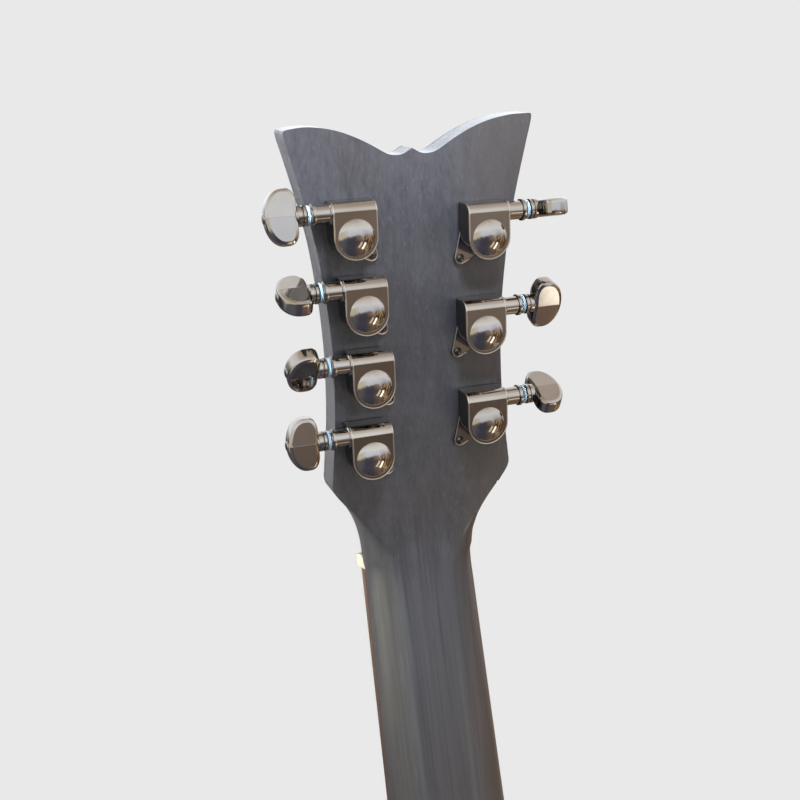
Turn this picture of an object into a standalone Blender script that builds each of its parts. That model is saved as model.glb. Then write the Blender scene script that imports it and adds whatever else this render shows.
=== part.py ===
"""Seven-string acoustic-electric guitar with a rounded cutaway and sealed worm-gear tuners.

Frame: +Z runs up the neck, -Y is the front with the strings, +X is the treble side. The origin is on the
centreline at the nut's lower edge, in the plane where the fingerboard is glued to the neck.
"""
from math import acos, asin, atan2, cos, hypot, pi, radians, sin, sqrt, tan

import bmesh
import bpy
from mathutils import Matrix, Vector
from mathutils.geometry import interpolate_bezier

MM = 0.001
GAP = 0.3

# Strings and scale
SCALE = 673.0
STRINGS = 7
STRING_RADII = (0.15, 0.2, 0.3, 0.4, 0.52, 0.66, 0.84)
NUT_SPREAD = 41.6
SADDLE_SPREAD = 63.0
CROWN = 400.0
NUT_STRING_Y = -8.2
SADDLE_STRING_Y = -11.8

# Neck and fingerboard
NUT_WIDTH = 48.0
NUT_LENGTH = 6.5
NUT_TOP = 9.1
TAPER = 0.0332
BOARD_TOP = 6.9
BOARD_END = -470.0
FRETS = 20
FRET_HEIGHT = 1.0
FRET_WIDTH = 2.0
NECK_DEPTH = 15.0
NECK_THICKENING = 0.004
JOINT_Z = -373.0
HEEL_DEPTH = 79.4

# Headstock
TILT = radians(15.7)
HEAD_THICKNESS = 13.9
PLATE_THICKNESS = 1.5
EDGE_ROUND = 0.8
HEAD_SIDE = ((0, 24.1), (7.5, 24.7), (16.2, 26.9), (23.2, 30.2), (30.2, 34.8), (36.4, 39.0), (38.8, 39.5),
             (42, 39.2), (50, 38.4), (60, 37.3), (72, 36.6), (84, 36.3), (97, 36.4), (112, 37.3),
             (124, 38.6), (138, 40.4), (150, 42.6), (162, 45.3), (172, 47.6), (182.2, 49.8))
HEAD_TOP = ((49.2, 183.8), (46, 184.4), (42, 184.2), (35.5, 183.0), (29, 181.2), (22.5, 178.6),
            (16.3, 175.4), (12, 172.8), (9.5, 171.6), (7, 171.1), (4, 171.3), (1.7, 172.4), (0, 173.4))
SLAB_START = 30.0

# Tuners: post places on the headstock, as (across, along), and how far each button is turned at rest
POSTS = ((24.6, 52.8), (22.9, 82.7), (24.4, 112.5), (27.4, 142.4), (-27.3, 137.7), (-25.2, 99.2),
         (-25.3, 60.6))
BUTTON_TURNS = (6, -38, 69, 14, 99, -20, 64)
TEETH = 14
WORM_RISE = 9.3
WORM_HEIGHT = 7.0
WORM_TIP = 3.0
WORM_ROOT = 1.9
WHEEL_TIP = 7.1
WHEEL_ROOT = 5.7
HOUSING_RADIUS = 8.5
HOUSING_TOP = 13.2
HOUSING_HEIGHT = 11.6
BARREL_END = 16.7
BUTTON_START = 22.0
BUTTON_END = 34.3
BUTTON_HALF = 10.7
POST_RADIUS = 3.0
POST_LENGTH = 20.0
STRING_LEVEL = 6.4

# Body
TOP_THICKNESS = 2.8
SIDE_THICKNESS = 2.2
LINING = 7.0
HEEL_SIDE_DEPTH = 82.0
TAIL_SIDE_DEPTH = 102.0
BODY_LENGTH = 500.0
BACK_THICKNESS = 3.0
BACK_DOME = 5.0
DOME_SHARES = (0.35, 0.7, 1.0)
SOUNDHOLE_Z = -523.0
SOUNDHOLE_RADIUS = 50.0
BODY_CENTRE = (0.0, -650.0)
# Bezier knots of the body's outline, as (x, z, reach in, reach out), from the neck down the bass side
KNOTS = (
    ((-34, -373), (0, 0), (-36, 0)),
    ((-146, -468), (0, 48), (0, -40)),
    ((-123, -575), (0, 34), (0, -46)),
    ((-200, -748), (0, 72), (0, -72)),
    ((0, -873), (-112, 0), (112, 0)),
    ((200, -748), (0, -72), (0, 72)),
    ((123, -575), (0, -46), (0, 30)),
    ((140, -499), (0, -26), (0, 30)),
    ((106, -443), (20, 1), (-18, -1)),
    ((64, -453), (17, 1), (-18, -1)),
    ((35, -417), (0, -22), (0, 16)),
    ((35, -373), (0, -14), (0, 0)),
)
SAMPLES = (6, 6, 5, 7, 7, 6, 3, 4, 3, 4, 1)

# Preamp on the bass side, between the upper bout's widest point and the waist
PANEL_SPAN = (0.155, 0.885)
PANEL_DEPTH = (14.5, 73.5)
HOUSING_SPAN = (0.185, 0.855)
HOUSING_DEPTH = (18.0, 70.0)
DOOR_SPAN = (0.53, 0.826)
DOOR_DEPTH = (18.6, 69.4)
KNOB_PLACES = {"volume_knob": (0.25, 30.0), "bass_knob": (0.25, 58.0), "treble_knob": (0.417, 30.0)}
TUNER_BUTTON_PLACE = (0.417, 58.0)
BATTERY = (17.0, 48.5, 26.0)
BATTERY_AT = 0.678

SATIN_BLACK = ("satin_black_wood", (0.055, 0.055, 0.06), 0.42, 0.0)
ROSEWOOD = ("rosewood", (0.10, 0.055, 0.035), 0.5, 0.0)
SPRUCE = ("spruce", (0.72, 0.55, 0.34), 0.6, 0.0)
MAHOGANY = ("mahogany", (0.36, 0.18, 0.09), 0.6, 0.0)
BLACK_NICKEL = ("black_nickel", (0.42, 0.38, 0.35), 0.16, 1.0)
STEEL = ("steel", (0.6, 0.6, 0.6), 0.3, 1.0)
BONE = ("bone", (0.86, 0.82, 0.72), 0.4, 0.0)
BLACK_PLASTIC = ("black_plastic", (0.02, 0.02, 0.02), 0.4, 0.0)
STRING_METAL = ("string_metal", (0.65, 0.5, 0.32), 0.3, 1.0)


def clear_scene():
    """Remove whatever the file holds."""
    for obj in list(bpy.data.objects):
        bpy.data.objects.remove(obj, do_unlink=True)


def make_collection(name):
    collection = bpy.data.collections.new(name)
    bpy.context.scene.collection.children.link(collection)
    return collection


clear_scene()
GUITAR = make_collection("seven_string_guitar")
CUTTERS = make_collection("cutters")


def material_for(node, finish):
    """Make the node's own material from a finish: name, colour, roughness, metallic."""
    _, colour, roughness, metallic = finish
    material = bpy.data.materials.new(node)
    material.use_nodes = True
    shader = material.node_tree.nodes["Principled BSDF"]
    shader.inputs["Base Color"].default_value = (*colour, 1.0)
    shader.inputs["Roughness"].default_value = roughness
    shader.inputs["Metallic"].default_value = metallic
    return material


def new_object(name, data):
    obj = bpy.data.objects.new(name, data)
    CUTTERS.objects.link(obj)
    obj.hide_render = True
    obj.display_type = "WIRE"
    return obj


def from_bmesh(name, bm):
    """Turn a closed bmesh in millimetres into an object in metres, faces out."""
    bmesh.ops.scale(bm, vec=(MM, MM, MM), verts=bm.verts)
    bmesh.ops.recalc_face_normals(bm, faces=bm.faces)
    mesh = bpy.data.meshes.new(name)
    bm.to_mesh(mesh)
    bm.free()
    return new_object(name, mesh)


def evaluated_mesh(obj):
    depsgraph = bpy.context.evaluated_depsgraph_get()
    return bpy.data.meshes.new_from_object(obj.evaluated_get(depsgraph))


def settle(obj):
    """Replace an object's modifiers by the mesh that they give, and remove the tools that they used."""
    mesh = evaluated_mesh(obj)
    tools = [m.object for m in obj.modifiers if m.type == "BOOLEAN"]
    obj.modifiers.clear()
    obj.data = mesh
    for tool in tools:
        bpy.data.objects.remove(tool, do_unlink=True)
    return obj


def welded(obj):
    """Turn a curve or turned object into a closed mesh object with its seams welded and faces out."""
    mesh = evaluated_mesh(obj)
    bm = bmesh.new()
    bm.from_mesh(mesh)
    bmesh.ops.remove_doubles(bm, verts=bm.verts, dist=1e-7)
    bmesh.ops.recalc_face_normals(bm, faces=bm.faces)
    bm.to_mesh(mesh)
    bm.free()
    name = obj.name
    bpy.data.objects.remove(obj, do_unlink=True)
    return new_object(name, mesh)


def combine(base, operation, *tools):
    """Join, cut or intersect a mesh object with others."""
    for tool in tools:
        modifier = base.modifiers.new(operation.title(), "BOOLEAN")
        modifier.operation = operation
        modifier.object = tool
    return base


def join(base, *tools):
    return combine(base, "UNION", *tools)


def cut(base, *tools):
    return combine(base, "DIFFERENCE", *tools)


def place(obj, node, finish, matrix=None, parent=None):
    """Hand a finished object to the guitar under its node name, with its own material."""
    CUTTERS.objects.unlink(obj)
    GUITAR.objects.link(obj)
    obj.name = node
    obj.hide_render = False
    obj.display_type = "TEXTURED"
    if obj.type == "MESH":
        obj.data.shade_smooth()
        obj.data.set_sharp_from_angle(angle=radians(32))
    obj.data.materials.clear()
    obj.data.materials.append(material_for(node, finish))
    if parent:
        obj.parent = parent
    if matrix:
        obj.matrix_local = matrix
    return obj


def shift_origin(obj, point):
    """Put an object's origin on a point in millimetres without moving its shape."""
    offset = Vector(point) * MM
    obj.data.transform(Matrix.Translation(-offset))
    obj.location = offset
    return obj


def box(name, low, high):
    """Box between two corners in millimetres."""
    bm = bmesh.new()
    size = [b - a for a, b in zip(low, high)]
    centre = [(a + b) / 2 for a, b in zip(low, high)]
    bmesh.ops.create_cube(bm, size=1.0)
    bmesh.ops.scale(bm, vec=size, verts=bm.verts)
    bmesh.ops.translate(bm, vec=centre, verts=bm.verts)
    return from_bmesh(name, bm)


def rod(name, start, end, radius, sides=12, end_radius=None):
    """Cylinder or cone between two points in millimetres."""
    start, end = Vector(start), Vector(end)
    axis = end - start
    bm = bmesh.new()
    bmesh.ops.create_cone(bm, cap_ends=True, segments=sides, radius1=radius,
                          radius2=radius if end_radius is None else end_radius, depth=axis.length)
    turn = axis.to_track_quat("Z", "Y").to_matrix().to_4x4()
    bm.transform(Matrix.Translation((start + end) / 2) @ turn)
    return from_bmesh(name, bm)


def plate(name, outlines, low, high, plane="XZ"):
    """Flat outline, with any holes after it, made solid between two levels along the third axis."""
    curve = bpy.data.curves.new(name, "CURVE")
    curve.dimensions = "2D"
    curve.fill_mode = "BOTH"
    curve.extrude = (high - low) / 2 * MM
    for outline in outlines:
        spline = curve.splines.new("POLY")
        spline.points.add(len(outline) - 1)
        for point, (a, b) in zip(spline.points, outline):
            point.co = (a * MM, b * MM, 0, 1)
        spline.use_cyclic_u = True
    obj = welded(new_object(name, curve))
    middle = (low + high) / 2 * MM
    order = {"XZ": lambda c: (c.x, c.z + middle, c.y), "ZY": lambda c: (c.z + middle, c.y, c.x),
             "XY": lambda c: (c.x, c.y, c.z + middle)}[plane]
    for vertex in obj.data.vertices:
        vertex.co = order(vertex.co)
    if plane != "XY":
        obj.data.flip_normals()
    return obj


def loft(name, rings, closed=False):
    """Skin over rings of points in millimetres, capped at both ends unless it closes on itself."""
    bm = bmesh.new()
    rows = [[bm.verts.new(point) for point in ring] for ring in rings]
    pairs = list(zip(rows, rows[1:]))
    if closed:
        pairs.append((rows[-1], rows[0]))
    else:
        bm.faces.new(rows[0])
        bm.faces.new(rows[-1])
    for first, second in pairs:
        for i in range(len(first)):
            j = (i + 1) % len(first)
            bm.faces.new((first[i], first[j], second[j], second[i]))
    return from_bmesh(name, bm)


def turned(name, profile, steps=12, ring=False):
    """Turned solid round Z: (radius, height) pairs in millimetres, top first, down the outer side."""
    mesh = bpy.data.meshes.new(name)
    count = len(profile)
    edges = [(i, i + 1) for i in range(count - 1)]
    if ring:
        edges.append((count - 1, 0))
    mesh.from_pydata([(r * MM, 0, h * MM) for r, h in profile], edges, [])
    obj = new_object(name, mesh)
    screw = obj.modifiers.new("Screw", "SCREW")
    screw.angle = 2 * pi
    screw.steps = steps
    screw.render_steps = steps
    screw.use_merge_vertices = True
    screw.merge_threshold = 1e-6
    return welded(obj)


def tube(name, points, radius, resolution=1, swell=None):
    """Wire through points in millimetres: a POLY curve with a round bevel and closed ends."""
    curve = bpy.data.curves.new(name, "CURVE")
    curve.dimensions = "3D"
    curve.bevel_depth = radius * MM
    curve.bevel_resolution = resolution
    curve.use_fill_caps = True
    spline = curve.splines.new("POLY")
    spline.points.add(len(points) - 1)
    for index, (point, co) in enumerate(zip(spline.points, points)):
        point.co = (*(c * MM for c in co), 1)
        point.radius = swell[index] if swell else 1.0
    return new_object(name, curve)


def oriented(obj, direction, at):
    """Turn an object made round Z to point along a direction, with its zero at a point in millimetres."""
    turn = Vector(direction).to_track_quat("Z", "Y").to_matrix().to_4x4()
    obj.data.transform(Matrix.Translation(Vector(at) * MM) @ turn)
    return obj


def interpolate(table, value):
    """Read a table of (position, size) pairs between its entries."""
    for (x0, y0), (x1, y1) in zip(table, table[1:]):
        if value <= x1:
            return y0 + (y1 - y0) * max(0.0, value - x0) / (x1 - x0)
    return table[-1][1]


def arc(centre, radius, start, end, steps):
    """Points of a circle's arc, angles in degrees."""
    turns = [radians(start + (end - start) * i / steps) for i in range(steps + 1)]
    return [(centre[0] + radius * cos(a), centre[1] + radius * sin(a)) for a in turns]


def crown_drop(x):
    """How far the fingerboard's, nut's and saddle's round top falls away from the middle."""
    return x * x / (2 * CROWN)


def half_width(z):
    """Half the neck's width at a place along it."""
    return NUT_WIDTH / 2 - TAPER / 2 * z


def head_point(across, along, depth):
    """Point of the tilted headstock: across, along from the nut, and depth behind its front."""
    return Vector((across, along * sin(TILT) + depth * cos(TILT),
                   NUT_LENGTH + along * cos(TILT) - depth * sin(TILT)))


HEAD_FRAME = bpy.data.objects.new("headstock_frame", None)
HEAD_FRAME.location = (0, 0, NUT_LENGTH * MM)
HEAD_FRAME.rotation_euler = (-TILT, 0, 0)
GUITAR.objects.link(HEAD_FRAME)


# Body outline

def body_outline():
    """Sample the Bezier outline of the body, starting at the neck and going down the bass side."""
    points = []
    for (start, end), steps in zip(zip(KNOTS, KNOTS[1:]), SAMPLES):
        knot_1 = Vector(start[0])
        knot_2 = Vector(end[0])
        handles = knot_1 + Vector(start[2]), knot_2 + Vector(end[1])
        points += interpolate_bezier(knot_1, *handles, knot_2, steps + 1)[:-1]
    points.append(Vector(KNOTS[-1][0]))
    return [(p.x, p.y) for p in points]


def inset(points, distances):
    """Move each point of a closed outline inwards, square to the outline, by its own distance."""
    result = []
    count = len(points)
    for i, distance in enumerate(distances):
        before = Vector(points[i]) - Vector(points[i - 1])
        after = Vector(points[(i + 1) % count]) - Vector(points[i])
        normals = [Vector((-edge.y, edge.x)).normalized() for edge in (before, after)]
        middle = (normals[0] + normals[1]).normalized()
        stretch = distance / max(middle.dot(normals[0]), 0.5)
        result.append((points[i][0] + middle.x * stretch, points[i][1] + middle.y * stretch))
    return result


OUTLINE = body_outline()


def side_depth(z):
    """Depth of the sides: deeper towards the tail."""
    return HEEL_SIDE_DEPTH + (TAIL_SIDE_DEPTH - HEEL_SIDE_DEPTH) * (JOINT_Z - z) / BODY_LENGTH


def outline_share(x, z):
    """How far out a point lies between the body's centre, 0, and its outline, 1."""
    angle = atan2(x - BODY_CENTRE[0], z - BODY_CENTRE[1])
    ends = [(atan2(px - BODY_CENTRE[0], pz - BODY_CENTRE[1]), px, pz) for px, pz in OUTLINE]
    for (a0, x0, z0), (a1, x1, z1) in zip(ends, ends[1:] + ends[:1]):
        turn = (a0 - a1) % (2 * pi)
        past = (a0 - angle) % (2 * pi)
        if past <= turn:
            edge = Vector((x1 - x0, z1 - z0))
            normal = Vector((edge.y, -edge.x))
            reach = normal.dot(Vector((x0 - BODY_CENTRE[0], z0 - BODY_CENTRE[1])))
            return normal.dot(Vector((x - BODY_CENTRE[0], z - BODY_CENTRE[1]))) / reach
    return 1.0


def dome_rise(share):
    """Rise of the back's dome between its edge, 1, and its middle, in facets."""
    return interpolate([(s, BACK_DOME * (1 - s * s)) for s in DOME_SHARES], share)


def back_inside(x, z):
    """Inner face of the domed back."""
    return side_depth(z) + GAP + dome_rise(outline_share(x, z))


def preamp_point(share, proud):
    """Point of the bass side at a share of its run from upper bout to waist, and the way out of it."""
    first, steps = SAMPLES[0], SAMPLES[1]
    step = min(int(share * steps), steps - 1)
    moved = inset(OUTLINE, [-proud] * len(OUTLINE))
    near, far = Vector(moved[first + step]), Vector(moved[first + step + 1])
    spot = near.lerp(far, share * steps - step)
    along = (far - near).normalized()
    return spot.x, spot.y, Vector((along.y, -along.x))


def preamp_loft(name, span, proud, depth):
    """Curved block on the bass side: a span along it, between two heights and two depths."""
    shares = [k / SAMPLES[1] for k in range(SAMPLES[1] + 1)]
    rings = []
    for share in [span[0]] + [s for s in shares if span[0] < s < span[1]] + [span[1]]:
        inner = preamp_point(share, proud[0])
        outer = preamp_point(share, proud[1])
        rings.append([(outer[0], depth[0], outer[1]), (outer[0], depth[1], outer[1]),
                      (inner[0], depth[1], inner[1]), (inner[0], depth[0], inner[1])])
    return loft(name, rings)


# Strings

def string_x(index, spread):
    """Place of a string across the neck: the first is the highest, on the treble side."""
    return spread / 2 - spread / (STRINGS - 1) * index


def saddle_z(x):
    """The saddle slants, so that the thick strings are a little longer."""
    return -SCALE - 3.0 + 1.8 * x / (SADDLE_SPREAD / 2)


def saddle_point(index):
    x = string_x(index, SADDLE_SPREAD)
    return Vector((x, SADDLE_STRING_Y + crown_drop(x) - STRING_RADII[index] - 0.1, saddle_z(x)))


def anchor_point(index):
    """Where a string's ball end sits, at the back of the bridge."""
    x = string_x(index, SADDLE_SPREAD)
    return Vector((x, -3.2, -697.5))


def nut_point(index, z):
    x = string_x(index, NUT_SPREAD)
    return Vector((x, NUT_STRING_Y + crown_drop(x) - STRING_RADII[index], z))


def winding_points(index):
    """Where a string meets its post, and its turns round it, clear of the post that turns inside them."""
    radius = STRING_RADII[index]
    across, along = POSTS[index]
    side = 1 if across > 0 else -1
    per_turn = 8
    ring = (POST_RADIUS + 0.05 + radius) / cos(pi / per_turn) + 0.1
    pitch = 2 * radius + 0.45
    turns = 1.9 if radius < 0.5 else 1.5
    start = Vector((string_x(index, NUT_SPREAD), 0.0))
    direction = (Vector((across, along)) - start).normalized()
    for _ in range(4):
        touch = Vector((across, along)) + ring * side * Vector((-direction.y, direction.x))
        direction = (touch - start).normalized()
    angle = atan2(touch.y - along, touch.x - across)
    count = int(turns * per_turn)
    points = []
    for i in range(count + 1):
        turn = angle - side * 2 * pi * i / per_turn
        level = -STRING_LEVEL - pitch * i / per_turn
        points.append(head_point(across + ring * cos(turn), along + ring * sin(turn), level))
    gap = pitch - 2 * radius
    return points, gap


def make_strings():
    """Seven strings: ball end, over the saddle, through the nut's slot and round the post."""
    gaps = []
    for index, radius in enumerate(STRING_RADII):
        winding, gap = winding_points(index)
        gaps.append(gap)
        anchor = anchor_point(index)
        saddle = saddle_point(index)
        behind = saddle - Vector((0, 0, 0.8))
        run = (behind - anchor).normalized()
        ball = 1.7 / radius
        ball_end = anchor + run * 2.2
        route = [anchor, ball_end, ball_end + run * 0.1, behind, saddle + Vector((0, 0, 0.8)),
                 nut_point(index, 0.2), nut_point(index, NUT_LENGTH - 0.4), *winding]
        swell = [ball, ball] + [1.0] * (len(route) - 2)
        place(tube(f"string_{index + 1}", route, radius, swell=swell), f"string_{index + 1}", STRING_METAL)
    print(f"least gap between a string's turns: {min(gaps):.2f} mm")


# Neck

def headstock_half(along):
    return interpolate(HEAD_SIDE, along)


def headstock_outline(start):
    """Closed outline of the headstock from a level upwards, as (across, along)."""
    side = [(headstock_half(start), start)] + [(half, along) for along, half in HEAD_SIDE if along > start]
    right = side + list(HEAD_TOP)
    left = [(-across, along) for across, along in reversed(right[:-1])]
    return right + left


def neck_back(z):
    """Back of the neck: its own line, flowing into the plane of the headstock's back."""
    own = NECK_DEPTH - NECK_THICKENING * z
    plane = HEAD_THICKNESS / cos(TILT) + (z - NUT_LENGTH) * tan(TILT)
    return (own + plane) / 2 + sqrt(((own - plane) / 2) ** 2 + 0.6 ** 2)


def neck_ring(front, back, half, flat, side, power=1.0, steps=5):
    """Ring of the neck: flat front, straight sides, round corners and what flat the back has."""
    depth = hypot(back[0] - front[0], back[1] - front[1])
    quarter = [(half, 0.0)]
    for k in range(steps + 1):
        turn = pi / 2 * k / steps
        across = flat + (half - flat) * cos(turn) ** power
        quarter.append((across, side + (depth - side) * sin(turn) ** power))
    ring = quarter + [(-x, d) for x, d in reversed(quarter)]
    return [(x, front[0] + (back[0] - front[0]) * d / depth, front[1] + (back[1] - front[1]) * d / depth)
            for x, d in ring]


def make_neck():
    """Neck, heel and headstock in one piece of wood, with its rod channel and tuner holes."""
    seat = GAP / 2
    rings = []
    heel = ((-372.7, HEEL_DEPTH), (-363, HEEL_DEPTH), (-361.8, 77), (-360.6, 64), (-358.2, 50),
            (-354.5, 38), (-348.5, 28.5), (-340, 22.4), (-328, 18.8))
    for z, depth in heel:
        share = (depth - 18) / (HEEL_DEPTH - 18)
        rings.append(neck_ring((seat, z), (depth, z), half_width(z), 6 + 4 * share, 1.5, 1 + 0.35 * share))
    for z, flat in ((-300, 5.5), (-180, 5.5), (-60, 6.0), (-26, 6.6), (-11, 7.7)):
        rings.append(neck_ring((seat, z), (neck_back(z), z), half_width(z), flat, 1.5))
    rings.append(neck_ring((seat, 0), (neck_back(-4), -4), half_width(0), 9.0, 1.6))
    rings.append(neck_ring((seat, 6.1), (neck_back(1), 1), headstock_half(0), 10.6, 1.8))
    front = PLATE_THICKNESS + GAP
    depth = HEAD_THICKNESS - front
    blends = ((0.5, 11.6, 2.0), (4, 13.4, 2.6), (8, 16.6, 4.0), (11.5, 20.2, 6.0), (15.5, 24.2, 8.2),
              (20, 27.4, 10.4), (25, None, depth - EDGE_ROUND), (29, None, depth - EDGE_ROUND))
    for along, flat, side in blends:
        near = head_point(0, along, front)
        far = head_point(0, along, HEAD_THICKNESS)
        far.y = max(far.y, neck_back(far.z))
        half = headstock_half(along)
        rings.append(neck_ring((near.y, near.z), (far.y, far.z), half, flat or half - EDGE_ROUND, side))
    near = head_point(0, SLAB_START + 0.6, front + 0.05)
    far = head_point(0, SLAB_START + 0.6, HEAD_THICKNESS - 0.05)
    half = headstock_half(SLAB_START) - 0.05
    side = depth - EDGE_ROUND - 0.1
    rings.append(neck_ring((near.y, near.z), (far.y, far.z), half, half - EDGE_ROUND, side))
    neck = loft("neck", rings)

    slab = plate("slab", [headstock_outline(SLAB_START)], front, HEAD_THICKNESS)
    bm = bmesh.new()
    bm.from_mesh(slab.data)
    edges = [e for e in bm.edges
             if all(v.co.y > (HEAD_THICKNESS - 0.01) * MM for v in e.verts) and len(e.link_faces) == 2
             and abs(e.link_faces[0].normal.y - e.link_faces[1].normal.y) > 0.5
             and not all(v.co.z < (SLAB_START + 0.01) * MM for v in e.verts)]
    bmesh.ops.bevel(bm, geom=edges, offset=EDGE_ROUND * MM, segments=1, profile=0.5, affect="EDGES",
                    material=-1)
    bm.to_mesh(slab.data)
    bm.free()
    slab.data.transform(HEAD_FRAME.matrix_basis)
    join(neck, slab)

    for index, (across, along) in enumerate(POSTS):
        hole = rod(f"hole_{index}", head_point(across, along, -3), head_point(across, along, 20), 5.0, 10)
        cut(neck, hole)
    cut(neck, box("rod_channel", (-3.4, -2, -364), (3.4, 9.6, 9)),
        box("rod_pocket", (-5.2, -2, 4), (5.2, 11, 33)))
    place(neck, "neck", SATIN_BLACK)


def make_headplate():
    """Thin plate on the headstock's front, with the bushings' holes and the rod's opening."""
    outline = headstock_outline(0.5)
    headplate = plate("headplate", [outline], 0.0, PLATE_THICKNESS)
    for index, (across, along) in enumerate(POSTS):
        cut(headplate, rod(f"plate_hole_{index}", (across, -3, along), (across, 5, along), 5.0, 10))
    cut(headplate, box("plate_slot", (-5.2, -2, 3), (5.2, 4, 27)))
    place(settle(headplate), "headplate", SATIN_BLACK, parent=HEAD_FRAME)


def make_truss_rod():
    """Steel rod in the neck with its adjusting nut in the headstock's pocket."""
    truss_rod = rod("truss_rod", (0, 6.4, -362), (0, 6.4, 12), 2.8, 8)
    nut = rod("rod_nut", (0, 6.4, 7.5), (0, 6.4, 14.5), 3.9, 6)
    socket = rod("rod_socket", (0, 6.4, 12.5), (0, 6.4, 17), 2.0, 6)
    join(truss_rod, nut)
    cut(truss_rod, socket)
    place(truss_rod, "truss_rod", STEEL)
    outline = [(-6, 4.5), (6, 4.5), (8.5, 9), (8.8, 14), (7.4, 20), (4.8, 26), (3.6, 31)]
    outline += arc((0, 32), 3.4, 10, 170, 4)
    outline += [(-3.6, 31), (-4.8, 26), (-7.4, 20), (-8.8, 14), (-8.5, 9)]
    cover = plate("truss_rod_cover", [outline], -1.8 - GAP, -GAP)
    place(cover, "truss_rod_cover", BLACK_PLASTIC, parent=HEAD_FRAME)


def make_fingerboard():
    """Crowned fingerboard with its frets, skinned over rings that rise and fall at each fret."""
    levels = [(-0.2, 0.0)]
    for fret in range(1, FRETS + 1):
        z = -SCALE * (1 - 2 ** (-fret / 12))
        foot = FRET_WIDTH / 2
        crest = foot * 0.45
        levels += [(z + foot, 0.0), (z + crest, FRET_HEIGHT), (z - crest, FRET_HEIGHT), (z - foot, 0.0)]
    levels.append((BOARD_END, 0.0))
    rings = []
    for z, rise in levels:
        half = half_width(z)
        ring = [(half, -GAP / 2, z), (-half, -GAP / 2, z)]
        for share in (-1, -0.4, 0.4, 1):
            x = half * share
            ring.append((x, -(BOARD_TOP - crown_drop(x) + rise), z))
        rings.append(ring)
    place(loft("fingerboard", rings), "fingerboard", ROSEWOOD)


def make_nut():
    """Bone nut with a round-bottomed slot for each string."""
    half = NUT_WIDTH / 2
    rings = []
    for share in (-1, -0.6, -0.2, 0.2, 0.6, 1):
        x = half * share
        top = NUT_TOP - crown_drop(x)
        rings.append([(x, -GAP / 2, 0.1), (x, -top, 0.1), (x, -top + 0.9, NUT_LENGTH - 0.5),
                      (x, -GAP / 2, NUT_LENGTH - 0.5)])
    nut = loft("nut", rings)
    for index, radius in enumerate(STRING_RADII):
        middle = nut_point(index, 0)
        slot_radius = radius + 0.12
        slot = rod(f"nut_slot_{index}", (middle.x, middle.y, -2), (middle.x, middle.y, 9), slot_radius, 6)
        throat = box(f"nut_throat_{index}", (middle.x - slot_radius * 0.93, -12, -2),
                     (middle.x + slot_radius * 0.93, middle.y, 9))
        cut(nut, slot, throat)
    place(nut, "nut", BONE)


# Tuners

def side_plate(name, profile, low, high):
    """Outline given as (height behind the headstock, along) made solid across the tuner."""
    solid = plate(name, [profile], low, high, "XY")
    for vertex in solid.data.vertices:
        y, z, x = vertex.co
        vertex.co = (x, y, z)
    return solid


def housing_block(name, radius, top, height, base, corner, facets):
    """D-shaped block with a round shoulder over the worm: its outline meets its side profile."""
    outline = [(radius, top), (-radius, top)] + arc((0, 0), radius, 180, 360, facets)
    block = plate(name, [outline], base, height + 2)
    profile = [(base, -radius - 1), (base, top)]
    profile += arc((height - corner, top - corner), corner, 90, 0, 3)
    profile += [(height, -radius - 1)]
    return settle(combine(block, "INTERSECT", side_plate(name + "_side", profile, -radius - 2, radius + 2)))


def housing_mesh():
    """Die-cast housing: hollow for worm and wheel, with its barrel, cap and screw lug."""
    housing = housing_block("housing", HOUSING_RADIUS, HOUSING_TOP, HOUSING_HEIGHT, GAP, 4.6, 10)
    cap = turned("cap", [(0, 13.8), (3.6, 13.2), (7.2, 11.0), (0, 11.0)], 12)
    oriented(cap, (0, 1, 0), (0, 0, 0))
    axis = (WORM_HEIGHT, WORM_RISE)
    barrel = rod("barrel", (7.9, *axis), (BARREL_END, *axis), 3.7, 10)
    inner_collar = rod("inner_collar", (8.2, *axis), (9.4, *axis), 4.4, 10)
    outer_collar = rod("outer_collar", (14.8, *axis), (BARREL_END - 0.3, *axis), 4.4, 10)
    lug_outline = arc((-8.6, -8.6), 3.0, 165, 300, 4) + [(-2.4, -7.8), (-3, -3), (-8, 2)]
    lug = plate("lug", [lug_outline], GAP + 0.05, 1.9)
    join(housing, cap, barrel, inner_collar, outer_collar, lug)
    cavity = housing_block("cavity", HOUSING_RADIUS - 0.95, HOUSING_TOP - 0.7, HOUSING_HEIGHT - 1.0, -3,
                           3.6, 8)
    bore = rod("bore", (5, *axis), (BARREL_END + 3, *axis), 2.6, 8)
    screw_hole = rod("screw_hole", (-8.8, -2, -8.8), (-8.8, 4, -8.8), 1.3, 6)
    cut(housing, cavity, bore, screw_hole)
    return settle(housing).data


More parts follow.
